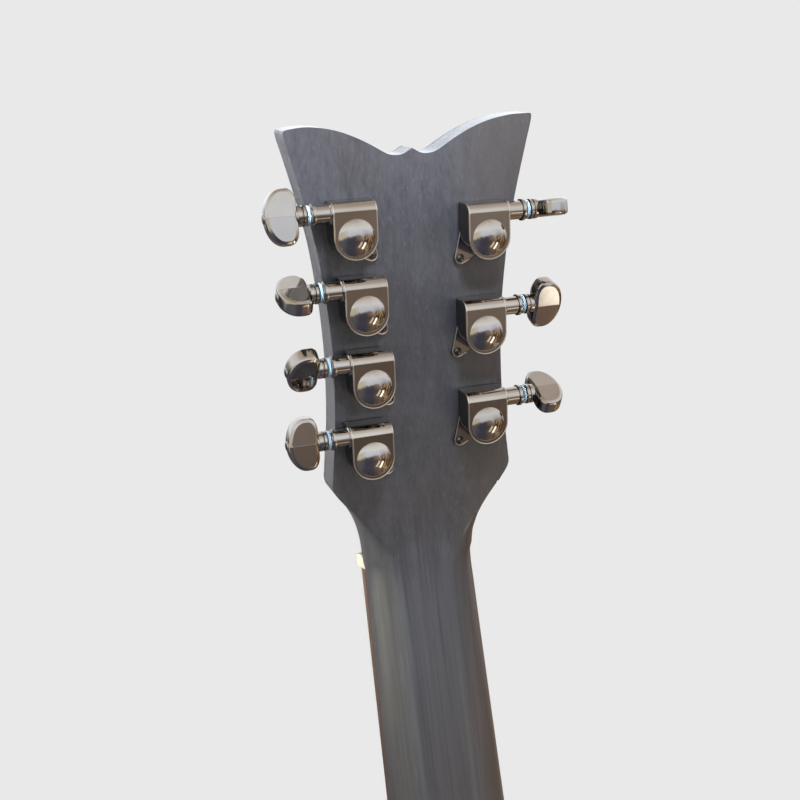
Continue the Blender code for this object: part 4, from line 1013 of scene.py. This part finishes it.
    def button(self, turn: float) -> Form:
        """Model the button, whose two facets meet in a low ridge, and turn it about the shaft."""
        half = [(1.5, 1, 0.0), (1.15, 1, 0.08), (0.35, 1, 0.55), (0.08, 1, 1.05), (0.0, 0.4, 0.0)]
        sections = []
        for inset, share, drop in half + [(inset, -share, drop) for inset, share, drop in reversed(half)]:
            section = []
            for x, z in self.button_outline(inset):
                level = 3.6 - 0.03 * abs(z)
                section.append((x, share * level if abs(share) < 1 else share * (level - drop), z))
            sections.append(section)
        form = Form().skin(sections).turn_out()
        for side in (-0.16, 0.0, 0.16):
            form.cut((0, 0, side), (0, 0, 1))
        for face in form.bm.faces:
            if abs(face.normal.y) > 0.95 and face.calc_area() > 2:
                for edge in face.edges:
                    edge.smooth = False
        for vertex in form.bm.verts:
            if abs(vertex.co.z) < 0.01 and abs(vertex.co.y) > 3.4:
                vertex.co.y *= 1.008
        return form.move(Matrix.Rotation(radians(turn), 4, "X"))

    def key(self, node: str, place: Matrix, turn: float) -> Form:
        """Model a key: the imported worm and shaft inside, a finer stem and button outside.

        Args:
            node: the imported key.
            place: frame of this tuner.
            turn: how far the button is turned at rest.

        Returns:
            The key's form in the guitar's frame.
        """
        cut_at = place @ Vector((self.barrel_end - 1.0, self.worm_height, self.worm_rise))
        inside = Form.of_node(node).keep(cut_at, place.to_3x3() @ Vector((1, 0, 0)))
        start = self.barrel_end - 1.5
        stem = Form().turned([*self.stem, (2.25, start), (0, start)], 40).move(ALONG_X)
        head = Form().turned(self.button_screw, 28)
        head.move(Matrix.Translation((self.button_end, 0, 0)) @ ALONG_X)
        return inside.add(self.button(turn).add(stem).add(head).move(place @ self.shaft))

    def washer(self) -> Form:
        """Model the nylon washer between barrel and stem."""
        return Form().turned(self.nylon, 32).move(self.shaft @ ALONG_X)

    def screw(self) -> Form:
        """Model the cross-head screw in the lug."""
        obj = Form().turned(self.lug_head, 28).finish("screw")
        boolean(obj, "DIFFERENCE", [Form().box((-long, -wide, 0.25), (long, wide, 2))
                                    for long, wide in self.cross])
        form = Form.of_mesh(obj.data)
        bpy.data.objects.remove(obj)
        place = Matrix.Translation((-self.lug_screw, 1.6, -self.lug_screw))
        return form.move(place @ ALONG_Y @ Matrix.Rotation(0.4, 4, "Z"))

    def build(self, head: Headstock, finishes: Finishes) -> None:
        """Model and dress all seven tuners; the bass side's are mirror images."""
        pattern = self.housing()
        for number, (post, turn) in enumerate(zip(head.posts, self.turns), start=1):
            place = head.matrix @ Matrix.Translation((post[0], head.thickness, post[1]))
            place = place @ Matrix.Diagonal((1 if post[0] > 0 else -1, 1, 1, 1))
            key = f"tuner_key_{number}"
            body = f"{key}_body"
            hand_over(Form.of_mesh(pattern.data).move(place).finish(f"housing_{number}", self.sharp),
                      finishes.nickel, f"tuner_housing_{number}")
            hand_over(self.key(key, place, turn).finish(f"key_{number}", 24), finishes.nickel, key,
                      body=body)
            # The raised rims carry the painted highlight finish
            hand_over(self.rims().move(place).finish(f"housing_rim_{number}"), finishes.rim)
            hand_over(self.washer().move(place).finish(f"nylon_washer_{number}"), finishes.nylon, body=body)
            hand_over(self.screw().move(place).finish(f"lug_screw_{number}"), finishes.screw)
            refine(f"tuner_bushing_{number}", f"bushing_{number}", finishes.nickel)
            refine(f"tuner_post_{number}", f"post_{number}", finishes.nickel, f"tuner_post_{number}_body")
        bpy.data.objects.remove(pattern)


# Fingerboard, nut and strings

@dataclass(frozen=True)
class Fingerboard:
    """Rosewood board with its frets and dots, the nut and the strings."""

    neck: Neck
    scale: float = 673.0
    top: float = 6.9
    end: float = -470.0
    crown: float = 400.0
    frets: int = 20
    fret_height: float = 1.0
    dots: tuple = (3, 5, 7, 9, 12, 15, 17, 19)
    octave: int = 12
    plain_strings: int = 2
    bead: tuple = (
        (1.0, 0.0), (1.0, 0.35), (0.72, 0.8), (0.3, 1.18), (-0.3, 1.18), (-0.72, 0.8), (-1.0, 0.35),
        (-1.0, 0.0))
    dot_spread: float = 11.0
    dot_radius: float = 3.2
    side_dot_radius: float = 1.1
    nut_overhang: float = 0.75

    def fret(self, number: int) -> float:
        """Place of a fret."""
        return -self.scale * (1 - 2 ** (-number / 12))

    def front(self, x: float) -> float:
        """Round front of the board."""
        return x * x / (2 * self.crown) - self.top

    def section(self, z: float) -> list[Vector]:
        """Section of the board, its front corners softened."""
        half = self.neck.half(z)
        points = [(half, -0.15), (half, self.front(half) + 0.5), (half - 0.15, self.front(half) + 0.15),
                  (half - 0.5, self.front(half))]
        points += [(half * share, self.front(half * share)) for share in (0.75, 0.5, 0.25, 0)]
        return [Vector((x, y, z)) for x, y in points + [(-x, y) for x, y in reversed(points[:-1])]]

    def fret_wire(self, z: float) -> Form:
        """Bead of one fret, bent over the board's crown."""
        half = self.neck.half(z) - 0.3
        sections = []
        for share in (-1, -0.97, -0.6, -0.3, 0, 0.3, 0.6, 0.97, 1):
            x = half * share
            height = self.fret_height if abs(share) < 1 else 0.35
            floor = self.front(x) + 0.25
            sections.append([(x, floor - up * height - 0.03, z + along) for along, up in self.bead])
        return Form().skin(sections)

    def build(self, finishes: Finishes) -> None:
        """Model and dress the board, frets, dots, nut and strings."""
        board = Form().skin([self.section(z) for z in (-0.2, self.end)])
        hand_over(board.finish("board"), finishes.rosewood, "fingerboard")
        wires = Form()
        for number in range(1, self.frets + 1):
            wires.add(self.fret_wire(self.fret(number)))
        hand_over(wires.finish("fret_wires", 50), finishes.fret)
        dots = Form()
        for number in self.dots:
            z = (self.fret(number) + self.fret(number - 1)) / 2
            for x in ((-self.dot_spread, self.dot_spread) if number == self.octave else (0,)):
                level = self.front(x)
                dots.rod((x, level + 0.8, z), (x, level - 0.03, z), self.dot_radius, 32)
            edge = -self.neck.half(z)
            dots.rod((edge + 0.8, -3.4, z), (edge - 0.03, -3.4, z), self.side_dot_radius, 20)
        hand_over(dots.finish("position_dots"), finishes.pearl)
        nut = Form.of_node("nut").finish("nut_bone", 25)
        ends = []
        for side in (-1, 1):
            left, right = sorted((side * 22.4, side * (self.neck.nut_width / 2 + self.nut_overhang)))
            end = Form().box((left, -8.9, 0.1), (right, -0.2, 6.0))
            ends.append(end.soften(lambda edge: all(abs(v.co.x) > 24 for v in edge.verts), 0.9, 4))
        boolean(nut, "UNION", ends, 25)
        hand_over(nut, finishes.bone, "nut")
        for number in range(1, 8):
            finish = finishes.plain if number <= self.plain_strings else finishes.wound
            refine(f"string_{number}", f"wire_{number}", finish, sharp=80)


# Body

@dataclass(frozen=True)
class Body:
    """Sound box: outline, plates, sides and their trim."""

    knots: tuple = (
        ((-34, -373), (0, 0), (-36, 0)), ((-146, -468), (0, 48), (0, -40)),
        ((-123, -575), (0, 34), (0, -46)), ((-200, -748), (0, 72), (0, -72)),
        ((0, -873), (-112, 0), (112, 0)), ((200, -748), (0, -72), (0, 72)),
        ((123, -575), (0, -46), (0, 30)), ((140, -499), (0, -26), (0, 30)),
        ((106, -443), (20, 1), (-18, -1)), ((64, -453), (17, 1), (-18, -1)),
        ((35, -417), (0, -22), (0, 16)), ((35, -373), (0, -14), (0, 0)))
    samples: tuple = (24, 24, 24, 28, 28, 24, 12, 14, 12, 16, 4)
    thickness: float = 2.8
    heel_depth: float = 82.0
    tail_depth: float = 102.0
    length: float = 500.0
    joint: float = -373.0
    tail: float = -873.0
    dome: float = 5.0
    back_thickness: float = 3.0
    soundhole: float = -523.0
    hole_radius: float = 50.0
    seat: float = 0.15
    inlay: tuple = (0.11, 0.9)
    purfling: tuple = (3.4, 4.3)
    rosette: tuple = ((54.0, 54.8), (56.2, 60.2), (61.6, 62.4))
    wall: float = 2.2
    lining: float = 7.0
    lining_height: float = 13.0
    binding: float = 2.2
    jack_radius: float = 6.4
    strap: float = -396.0
    strap_hole_radius: float = 2.4
    centre: float = -650.0
    cover: float = 0.55
    sharp: float = 30.0
    shares: tuple = (1.0, 0.97, 0.85, 0.7, 0.5, 0.35, 0.18)

    def outline(self) -> Outline:
        """Smooth outline from the neck down the bass side and back."""
        points: Outline = []
        for (start, _, leave), (end, arrive, _), steps in zip(self.knots, self.knots[1:], self.samples):
            first, last = Vector(start), Vector(end)
            bend = interpolate_bezier(first, first + Vector(leave), last + Vector(arrive), last, steps + 1)
            points += [(p.x, p.y) for p in bend[:-1]]
        return points + [self.knots[-1][0]]

    def inset(self, points: Sequence[Point], distance: float) -> Outline:
        """Move an outline inwards, square to itself."""
        result = []
        for i, here in enumerate(points):
            before = Vector(here) - Vector(points[i - 1])
            after = Vector(points[(i + 1) % len(points)]) - Vector(here)
            normals = [Vector((-edge.y, edge.x)).normalized() for edge in (before, after)]
            middle = (normals[0] + normals[1]).normalized()
            reach = distance / max(middle.dot(normals[0]), 0.5)
            result.append((here[0] + middle.x * reach, here[1] + middle.y * reach))
        return result

    def side_depth(self, z: float) -> float:
        """Depth of the sides at a place along the body."""
        return self.heel_depth + (self.tail_depth - self.heel_depth) * (self.joint - z) / self.length

    def build_top(self, finishes: Finishes) -> None:
        """Model and dress the soundboard, its purfling and the rosette."""
        outline = self.outline()
        hole = (0, self.soundhole)
        top = Form().plate([outline, ring_outline(hole, self.hole_radius)], self.seat,
                           self.seat + self.thickness, 0.7)
        hand_over(top.finish("top_plate", 28), finishes.body, "soundboard")
        line = Form().plate([self.inset(outline, distance) for distance in self.purfling], *self.inlay)
        hand_over(line.finish("top_purfling"), finishes.purfling)
        rosette = Form()
        for inner, outer in self.rosette:
            rosette.plate([ring_outline(hole, outer), ring_outline(hole, inner)], *self.inlay)
        hand_over(rosette.finish("rosette"), finishes.pearl)

    def build_sides(self, finishes: Finishes, preamp: "Preamp") -> None:
        """Model and dress the bent sides and linings with the preamp's and jack's openings."""
        outline = self.outline()
        front = self.thickness + 0.45
        sections = []
        walls, linings = self.inset(outline, self.wall), self.inset(outline, self.lining)
        for (x, z), (wall_x, wall_z), deep in zip(outline, walls, linings):
            # The linings stop at the neck's and tail's blocks
            deep_x, deep_z = (wall_x, wall_z) if abs(x) < 60 and not -865 < z < -440 else deep
            back = self.side_depth(z)
            sections.append([(x, front, z), (x, back, z), (deep_x, self.side_depth(deep_z), deep_z),
                             (wall_x, back - self.lining_height, wall_z),
                             (wall_x, front + self.lining_height, wall_z), (deep_x, front, deep_z)])
        sides = Form().skin(sections, closed=True).finish("bent_sides", self.sharp)
        jack = self.side_depth(self.tail) / 2
        tools = [preamp.block(preamp.housing_span, (-9, 6), (17.6, 70.4), 0.005),
                 Form().rod((0, jack, self.tail - 12), (0, jack, self.tail + 13), self.jack_radius)]
        boolean(sides, "DIFFERENCE", tools, self.sharp)
        hand_over(sides, finishes.sides, "rim")
        band = Form()
        for level in (0.35, None):
            strip = []
            for (x, z), (in_x, in_z) in zip(self.inset(outline, -0.12), self.inset(outline, 0.6)):
                low = level or self.side_depth(z) + self.cover - 0.2 - self.binding
                high = low + self.binding
                strip.append([(x, low, z), (x, high, z), (in_x, high, in_z), (in_x, low, in_z)])
            band.skin(strip, closed=True)
        hand_over(band.finish("edge_binding", self.sharp), finishes.binding)

    def build_back(self, finishes: Finishes) -> None:
        """Model and dress the domed back with the strap button's hole."""
        outline = self.outline()
        sections = []
        for outer, order in ((False, self.shares[::-1]), (True, self.shares)):
            for share in order:
                edge = 0.35 if share == 1.0 else 0.0
                thick = self.back_thickness - edge if outer else 0.0
                rise = self.dome * (1 - max(share, 0.35) ** 2)
                section = []
                for x, z in outline:
                    level = self.centre + (z - self.centre) * share
                    section.append((x * share, self.side_depth(level) + 0.3 + rise + thick, level))
                sections.append(section)
        back = Form().skin(sections).finish("back_dome", self.sharp)
        hole = Form().rod((0, 70, self.strap), (0, 100, self.strap), self.strap_hole_radius, 20)
        boolean(back, "DIFFERENCE", [hole], self.sharp)
        hand_over(back, finishes.body, "back_plate")

    def build(self, finishes: Finishes, preamp: "Preamp") -> None:
        """Model and dress the whole sound box."""
        self.build_top(finishes)
        self.build_sides(finishes, preamp)
        self.build_back(finishes)
        for node, name, finish in (
                ("neck_block", "neck_block_wood", finishes.mahogany),
                ("tail_block", "tail_block_wood", finishes.mahogany),
                ("top_bracing", "top_braces", finishes.spruce),
                ("back_bracing", "back_braces", finishes.spruce),
                ("bridge", "bridge_wood", finishes.bridge_wood),
                ("saddle", "saddle_bone", finishes.bone)):
            refine(node, name, finish, sharp=25)


# Electronics and hardware

@dataclass(frozen=True)
class Preamp:
    """Preamp in the bass side: panel, knobs, push button, battery door and battery."""

    body: Body
    panel_span: tuple = (0.155, 0.885)
    panel_depth: tuple = (14.5, 73.5)
    proud: float = 2.5
    housing_span: tuple = (0.185, 0.855)
    housing_depth: tuple = (18.0, 70.0)
    door_span: tuple = (0.53, 0.826)
    battery_at: float = 0.678
    knobs: tuple = (("volume_knob", 0.25, 30.0), ("bass_knob", 0.25, 58.0), ("treble_knob", 0.417, 30.0))
    button: tuple = (0.417, 58.0)
    lens: tuple = (0.335, 66.5)
    knob_profile: tuple = (
        (5.9, 0.7, 0.0), (6.15, 1.0, 0.12), (5.7, 7.9, 0.22), (5.4, 8.7, 0.12), (4.9, 9.0, 0.0))
    knob_ribs: int = 24
    shaft_radius: float = 1.55
    shaft_hole_radius: float = 1.95
    button_hole_radius: float = 3.7
    dial_marks: int = 11
    dial_turn: float = 140.0
    mark: tuple = ((-0.16, 7.0, -0.35), (0.16, 8.0, 0.06))
    pointer: tuple = ((-0.3, 1.2, 8.6), (0.3, 5.0, 9.05))
    well: tuple = ((-23, 19.6, -13.8), (4, 69.0, 13.8))
    lens_profile: tuple = ((0, 0.5), (0.7, 0.4), (1.1, 0.1), (1.2, -0.6), (0, -0.6))
    sharp: float = 30.0

    def point(self, share: float, proud: float) -> tuple[Vector, Vector]:
        """Spot on the bass side, from upper bout to waist, and the way out of it, both as (x, z)."""
        first, steps = self.body.samples[:2]
        run = self.body.inset(self.body.outline(), -proud)[first:first + steps + 1]
        step = min(int(share * steps), steps - 1)
        near, far = Vector(run[step]), Vector(run[step + 1])
        along = (far - near).normalized()
        return near.lerp(far, share * steps - step), Vector((along.y, -along.x))

    def block(self, span: Point, proud: Point, depth: Point, spare: float = 0.0) -> Form:
        """Block bent with the side.

        Args:
            span: shares of the run where it starts and ends.
            proud: inner and outer height over the side.
            depth: front and back level.
            spare: how much longer it is at each end.

        Returns:
            The form.
        """
        sections = []
        low, high = span[0] - spare, span[1] + spare
        for k in range(25):
            (inner, _), (outer, _) = (self.point(low + (high - low) * k / 24, level) for level in proud)
            sections.append([(outer.x, depth[0], outer.y), (outer.x, depth[1], outer.y),
                             (inner.x, depth[1], inner.y), (inner.x, depth[0], inner.y)])
        return Form().skin(sections)

    def frame_at(self, share: float, depth: float, lift: float = 0.0) -> Matrix:
        """Frame on the panel whose Z points out of it."""
        spot, out = self.point(share, self.proud + lift)
        turn = Vector((out.x, 0, out.y)).to_track_quat("Z", "Y").to_matrix().to_4x4()
        return Matrix.Translation((spot.x, depth, spot.y)) @ turn

    def build(self, finishes: Finishes) -> None:
        """Model and dress the panel and everything on it."""
        panel = self.block(self.panel_span, (0.3, self.proud), self.panel_depth)
        obj = panel.finish("preamp_plate", self.sharp)
        boolean(obj, "UNION", [self.block(self.housing_span, (-29, 1.2), self.housing_depth)], self.sharp)
        spot, out = self.point(self.battery_at, 0)
        lean = Matrix.Rotation(atan2(-out.y, out.x), 4, "Y")
        well = Form().box(*self.well).move(Matrix.Translation((spot.x, 0, spot.y)) @ lean)
        tools = [well, self.block(self.door_span, (0.4, 6), (18.1, 69.9), 0.006)]
        tools += [Form().rod((0, 0, -7.5), (0, 0, 3.5), self.shaft_hole_radius, 20
                             ).move(self.frame_at(*place)) for _, *place in self.knobs]
        tools.append(Form().rod((0, 0, -5.9), (0, 0, 3.5), self.button_hole_radius, 28
                                ).move(self.frame_at(*self.button)))
        boolean(obj, "DIFFERENCE", tools, self.sharp)
        hand_over(obj, finishes.plastic, "preamp_panel")
        marks = Form()
        for name, *place in self.knobs:
            self.build_knob(name, self.frame_at(*place), finishes)
            for tick in range(self.dial_marks):
                turn = radians(self.dial_turn * (2 * tick / (self.dial_marks - 1) - 1))
                spin = Matrix.Rotation(turn, 4, "Z")
                marks.add(Form().box(*self.mark).move(self.frame_at(*place, 0.02) @ spin))
        hand_over(marks.finish("dial_marks"), finishes.purfling)
        refine("tuner_button", "push_button", finishes.plastic, "tuner_button_body")
        refine("battery_door", "well_door", finishes.plastic, "battery_door_body")
        dress(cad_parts["battery"].data, finishes.battery.material)
        lens = Form().turned(self.lens_profile, 24).move(self.frame_at(*self.lens))
        hand_over(lens.finish("signal_lens"), finishes.led)

    def build_knob(self, name: str, place: Matrix, finishes: Finishes) -> None:
        """Model one ribbed knob with its pointer line."""
        steps = 4 * self.knob_ribs
        sections = []
        for radius, level, rib in self.knob_profile:
            section = []
            for k in range(steps):
                reach = radius + rib * cos(self.knob_ribs * 2 * pi * k / steps)
                section.append((reach * cos(2 * pi * k / steps), reach * sin(2 * pi * k / steps), level))
            sections.append(section)
        knob = Form().skin(sections).rod((0, 0, -5.9), (0, 0, 1.2), self.shaft_radius, 20).move(place)
        body = f"{name}_body"
        hand_over(knob.finish(f"{name}_cap", 40), finishes.plastic, name, body=body)
        line = Form().box(*self.pointer).move(place)
        hand_over(line.finish(f"{name}_pointer"), finishes.purfling, body=body)


@dataclass(frozen=True)
class Hardware:
    """Small metal parts on the body and inside it."""

    def build(self, finishes: Finishes) -> None:
        """Dress the jack, strap button, rod and pickup."""
        refine("endpin_jack", "jack_sleeve", finishes.steel)
        refine("strap_button", "strap_knob", finishes.steel)
        dress(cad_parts["truss_rod"].data, finishes.steel.material)
        dress(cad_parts["pickup_strip"].data, finishes.plastic.material)


# Studio

@dataclass(frozen=True)
class Studio:
    """Camera, floor, lamps and surroundings."""

    eye: tuple = (0.14999, 0.47865, 0.09107)
    right: tuple = (-0.94445747, 0.3042329, -0.12426761)
    down: tuple = (0.130455429, 0.0000130306, -0.991454175)
    forward: tuple = (-0.30163136, -0.95259768, -0.03970114)
    lens: float = 51.305
    pale: float = 0.815
    glow: float = 0.09
    room_stops: tuple = (
        (0.0, (0.13, 0.12, 0.13)), (0.075, (0.28, 0.20, 0.16)), (0.2, (0.15, 0.12, 0.105)),
        (0.28, (0.31, 0.25, 0.21)), (0.365, (0.4, 0.36, 0.35)), (0.425, (1.0, 1.12, 1.38)),
        (0.65, (1.3, 1.4, 1.5)), (0.8, (1.1, 1.1, 1.1)), (0.96, (0.66, 0.56, 0.49)))
    lamps: tuple = (
        ("key_lamp", (-0.23, 1.0, 0.25), (0, 0.04, 0.12), (0.2, 0.18), 1.0),
        ("top_lamp", (-0.1, 0.5, 0.55), (0.02, 0.05, 0.17), (0.4, 0.4), 0.6, (0.9, 0.97, 1.1)),
        ("near_lamp", (0.0, 0.34, 0.37), (0.02, 0.07, 0.235), (0.1, 0.1), 0.58, (0.84, 0.95, 1.12), 48),
        ("edge_lamp", (0.95, 0.1, 0.2), (0.04, 0.04, 0.085), (0.1, 0.1), 0.4, (1.0, 0.93, 0.8), 18),
        ("flank_lamp", (0.95, 0.2, -0.06), (0.02, 0, -0.025), (0.1, 0.1), 0.045, (1.0, 0.96, 0.72), 11),
        ("side_lamp", (1.2, 0.3, -0.05), (0, 0, 0), (0.6, 0.8), 5.5, (1.0, 0.92, 0.74)),
        ("warm_lamp", (-1.2, 0.4, -0.1), (0, 0, -0.1), (0.7, 0.9), 2.6, (1.0, 0.76, 0.54)),
        ("front_lamp", (0.4, -1.6, 0.9), (0, 0, -0.5), (1.2, 1.2), 26),
        ("body_lamp", (0.6, 1.5, -0.9), (0, 0, -0.75), (1.0, 0.9), 8, (1, 1, 1), 40))

    def camera(self) -> None:
        """Stand the camera at the photograph's viewpoint."""
        data = bpy.data.cameras.new("camera")
        data.lens = self.lens
        data.sensor_width = 36.0
        data.clip_start = 0.01
        data.clip_end = 50.0
        camera = link("camera", data)
        axes = Matrix((self.right, [-c for c in self.down], [-c for c in self.forward])).transposed()
        camera.matrix_world = Matrix.Translation(self.eye) @ axes.to_4x4()
        bpy.context.scene.camera = camera

    def lamp(self, name: str, place: Point, aim: Point, size: Point, power: float,
             colour: Point = (1, 1, 1), spread: float = 180.0) -> None:
        """Hang one soft rectangular lamp.

        Args:
            name: the lamp's name.
            place: where it hangs, in metres.
            aim: what it points at.
            size: width and height in metres.
            power: watts.
            colour: tint.
            spread: how wide it shines, in degrees.
        """
        data = bpy.data.lights.new(name, "AREA")
        data.shape = "RECTANGLE"
        data.size, data.size_y = size
        data.energy = power
        data.spread = radians(spread)
        data.color = colour
        lamp = link(name, data)
        lamp.location = place
        lamp.visible_glossy = False
        lamp.visible_camera = False
        lamp.rotation_euler = (Vector(aim) - Vector(place)).to_track_quat("-Z", "Y").to_euler()

    def room(self, recipe: Recipe) -> Signal:
        """Paint the soft room that polished parts show."""
        way = recipe.node("ShaderNodeTexCoord")
        blur = recipe.node("ShaderNodeTexNoise", {}, {"Vector": way, "Scale": 2.6, "Detail": 2.0}, output=1)
        bent = recipe.node("ShaderNodeVectorMath", {"operation": "MULTIPLY_ADD"},
                           {0: blur, 1: (0.32, 0.32, 0.32), 2: way})
        across, depth, height = (recipe.part(bent, axis) - 0.16 for axis in range(3))
        room = recipe.node("ShaderNodeValToRGB", {"stops": self.room_stops}, {0: height * 0.5 + 0.5})
        spots = recipe.noise(way, 5.0, 3.0, 0.6).between(0.52, 0.6)
        ends = recipe.mix(across.between(-0.25, 0.2), (0.3, 0.2, 0.12), (0.13, 0.13, 0.16))
        for place, share, colour in (
                (across.between(-0.42, -0.8) * height.between(0.1, -0.3), 0.92, (0.15, 0.085, 0.045)),
                (spots * across.between(-0.36, -0.5) * height.between(0.35, -0.1), 0.75, (0.95, 0.7, 0.45)),
                (across.between(0.35, 0.7) * height.between(0.3, 0.05), 0.9, (0.95, 0.92, 0.72)),
                (across.between(-0.3, 0.02) * height.between(-0.2, -0.42), 0.88, (0.085, 0.095, 0.155)),
                (depth.between(-0.3, -0.75) * height.between(0.22, 0.02), 1.0, ends),
                (depth.between(0.1, -0.6) * height.between(0.12, 0.3), 0.8, (1.3, 1.38, 1.5))):
            room = recipe.mix(place * share, room, colour)
        # Two bars of light, seen from the back and above
        aim = Vector((-0.5, 0.5, -0.7)).normalized()
        sideways = aim.cross(Vector((0, 0, 1))).normalized()
        toward, lit_bass_side, up = (
            recipe.node("ShaderNodeVectorMath", {"operation": "DOT_PRODUCT"}, {0: way, 1: tuple(axis)},
                        output=1) for axis in (aim, sideways, sideways.cross(aim)))
        for offset, colour in ((-0.17, (1.3, 1.1, 0.85)), (0.1, (3.4, 3.3, 3.0))):
            shift = lit_bass_side + offset
            bar = (shift * shift).between(0.0065, 0.003) * (up * up).between(0.05, 0.025)
            room = recipe.mix(bar * toward.between(0.5, 0.7), room, colour)
        return room

    def surroundings(self) -> None:
        """Fill the world: pale to the camera, an even glow, and the room in polished parts."""
        world = bpy.data.worlds.new("studio")
        bpy.context.scene.world = world
        world.use_nodes = True
        world.node_tree.nodes.clear()
        recipe = Recipe("studio", world.node_tree)
        path = recipe.node("ShaderNodeLightPath")
        glossy = Signal(recipe, path.socket.node.outputs["Is Glossy Ray"])
        glow, room, pale = (recipe.node("ShaderNodeBackground", {}, {"Color": colour, "Strength": 1.0})
                            for colour in ((self.glow,) * 3, self.room(recipe), (self.pale,) * 3))
        inner = recipe.node("ShaderNodeMixShader", {}, {0: glossy, 1: glow, 2: room})
        outer = recipe.node("ShaderNodeMixShader", {}, {0: path, 1: inner, 2: pale})
        recipe.node("ShaderNodeOutputWorld", {}, {"Surface": outer}, output=None)

    def floor(self) -> None:
        """Lay a pale round floor under the guitar."""
        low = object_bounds()[0][2] / MM
        obj = Form().rod((0, 0, low - 4.5), (0, 0, low - 0.5), 600, 96).finish("studio_floor")
        recipe = Recipe("pale_floor")
        tone = recipe.mix(recipe.noise(recipe.position(), 3.0), (0.78,) * 3, (0.81,) * 3)
        dress(obj.data, recipe.surface({"Base Color": tone, "Roughness": 0.7}))
        obj.visible_glossy = False
        obj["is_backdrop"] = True

    def build(self) -> None:
        """Set up the whole studio."""
        bpy.context.scene.view_settings.view_transform = "Standard"
        self.camera()
        self.surroundings()
        self.floor()
        for lamp in self.lamps:
            self.lamp(*lamp)


def main() -> None:
    """Build every sub-assembly in order."""
    head = Headstock()
    finishes = Finishes(head.tilt)
    neck = Neck(head)
    body = Body()
    preamp = Preamp(body)
    neck.build(finishes)
    neck.build_plate(finishes)
    Tuner().build(head, finishes)
    Fingerboard(neck).build(finishes)
    body.build(finishes, preamp)
    preamp.build(finishes)
    Hardware().build(finishes)
    Studio().build()
    log.info("%d packed nodes dressed", len(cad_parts))


if __name__ == "__main__":
    main()
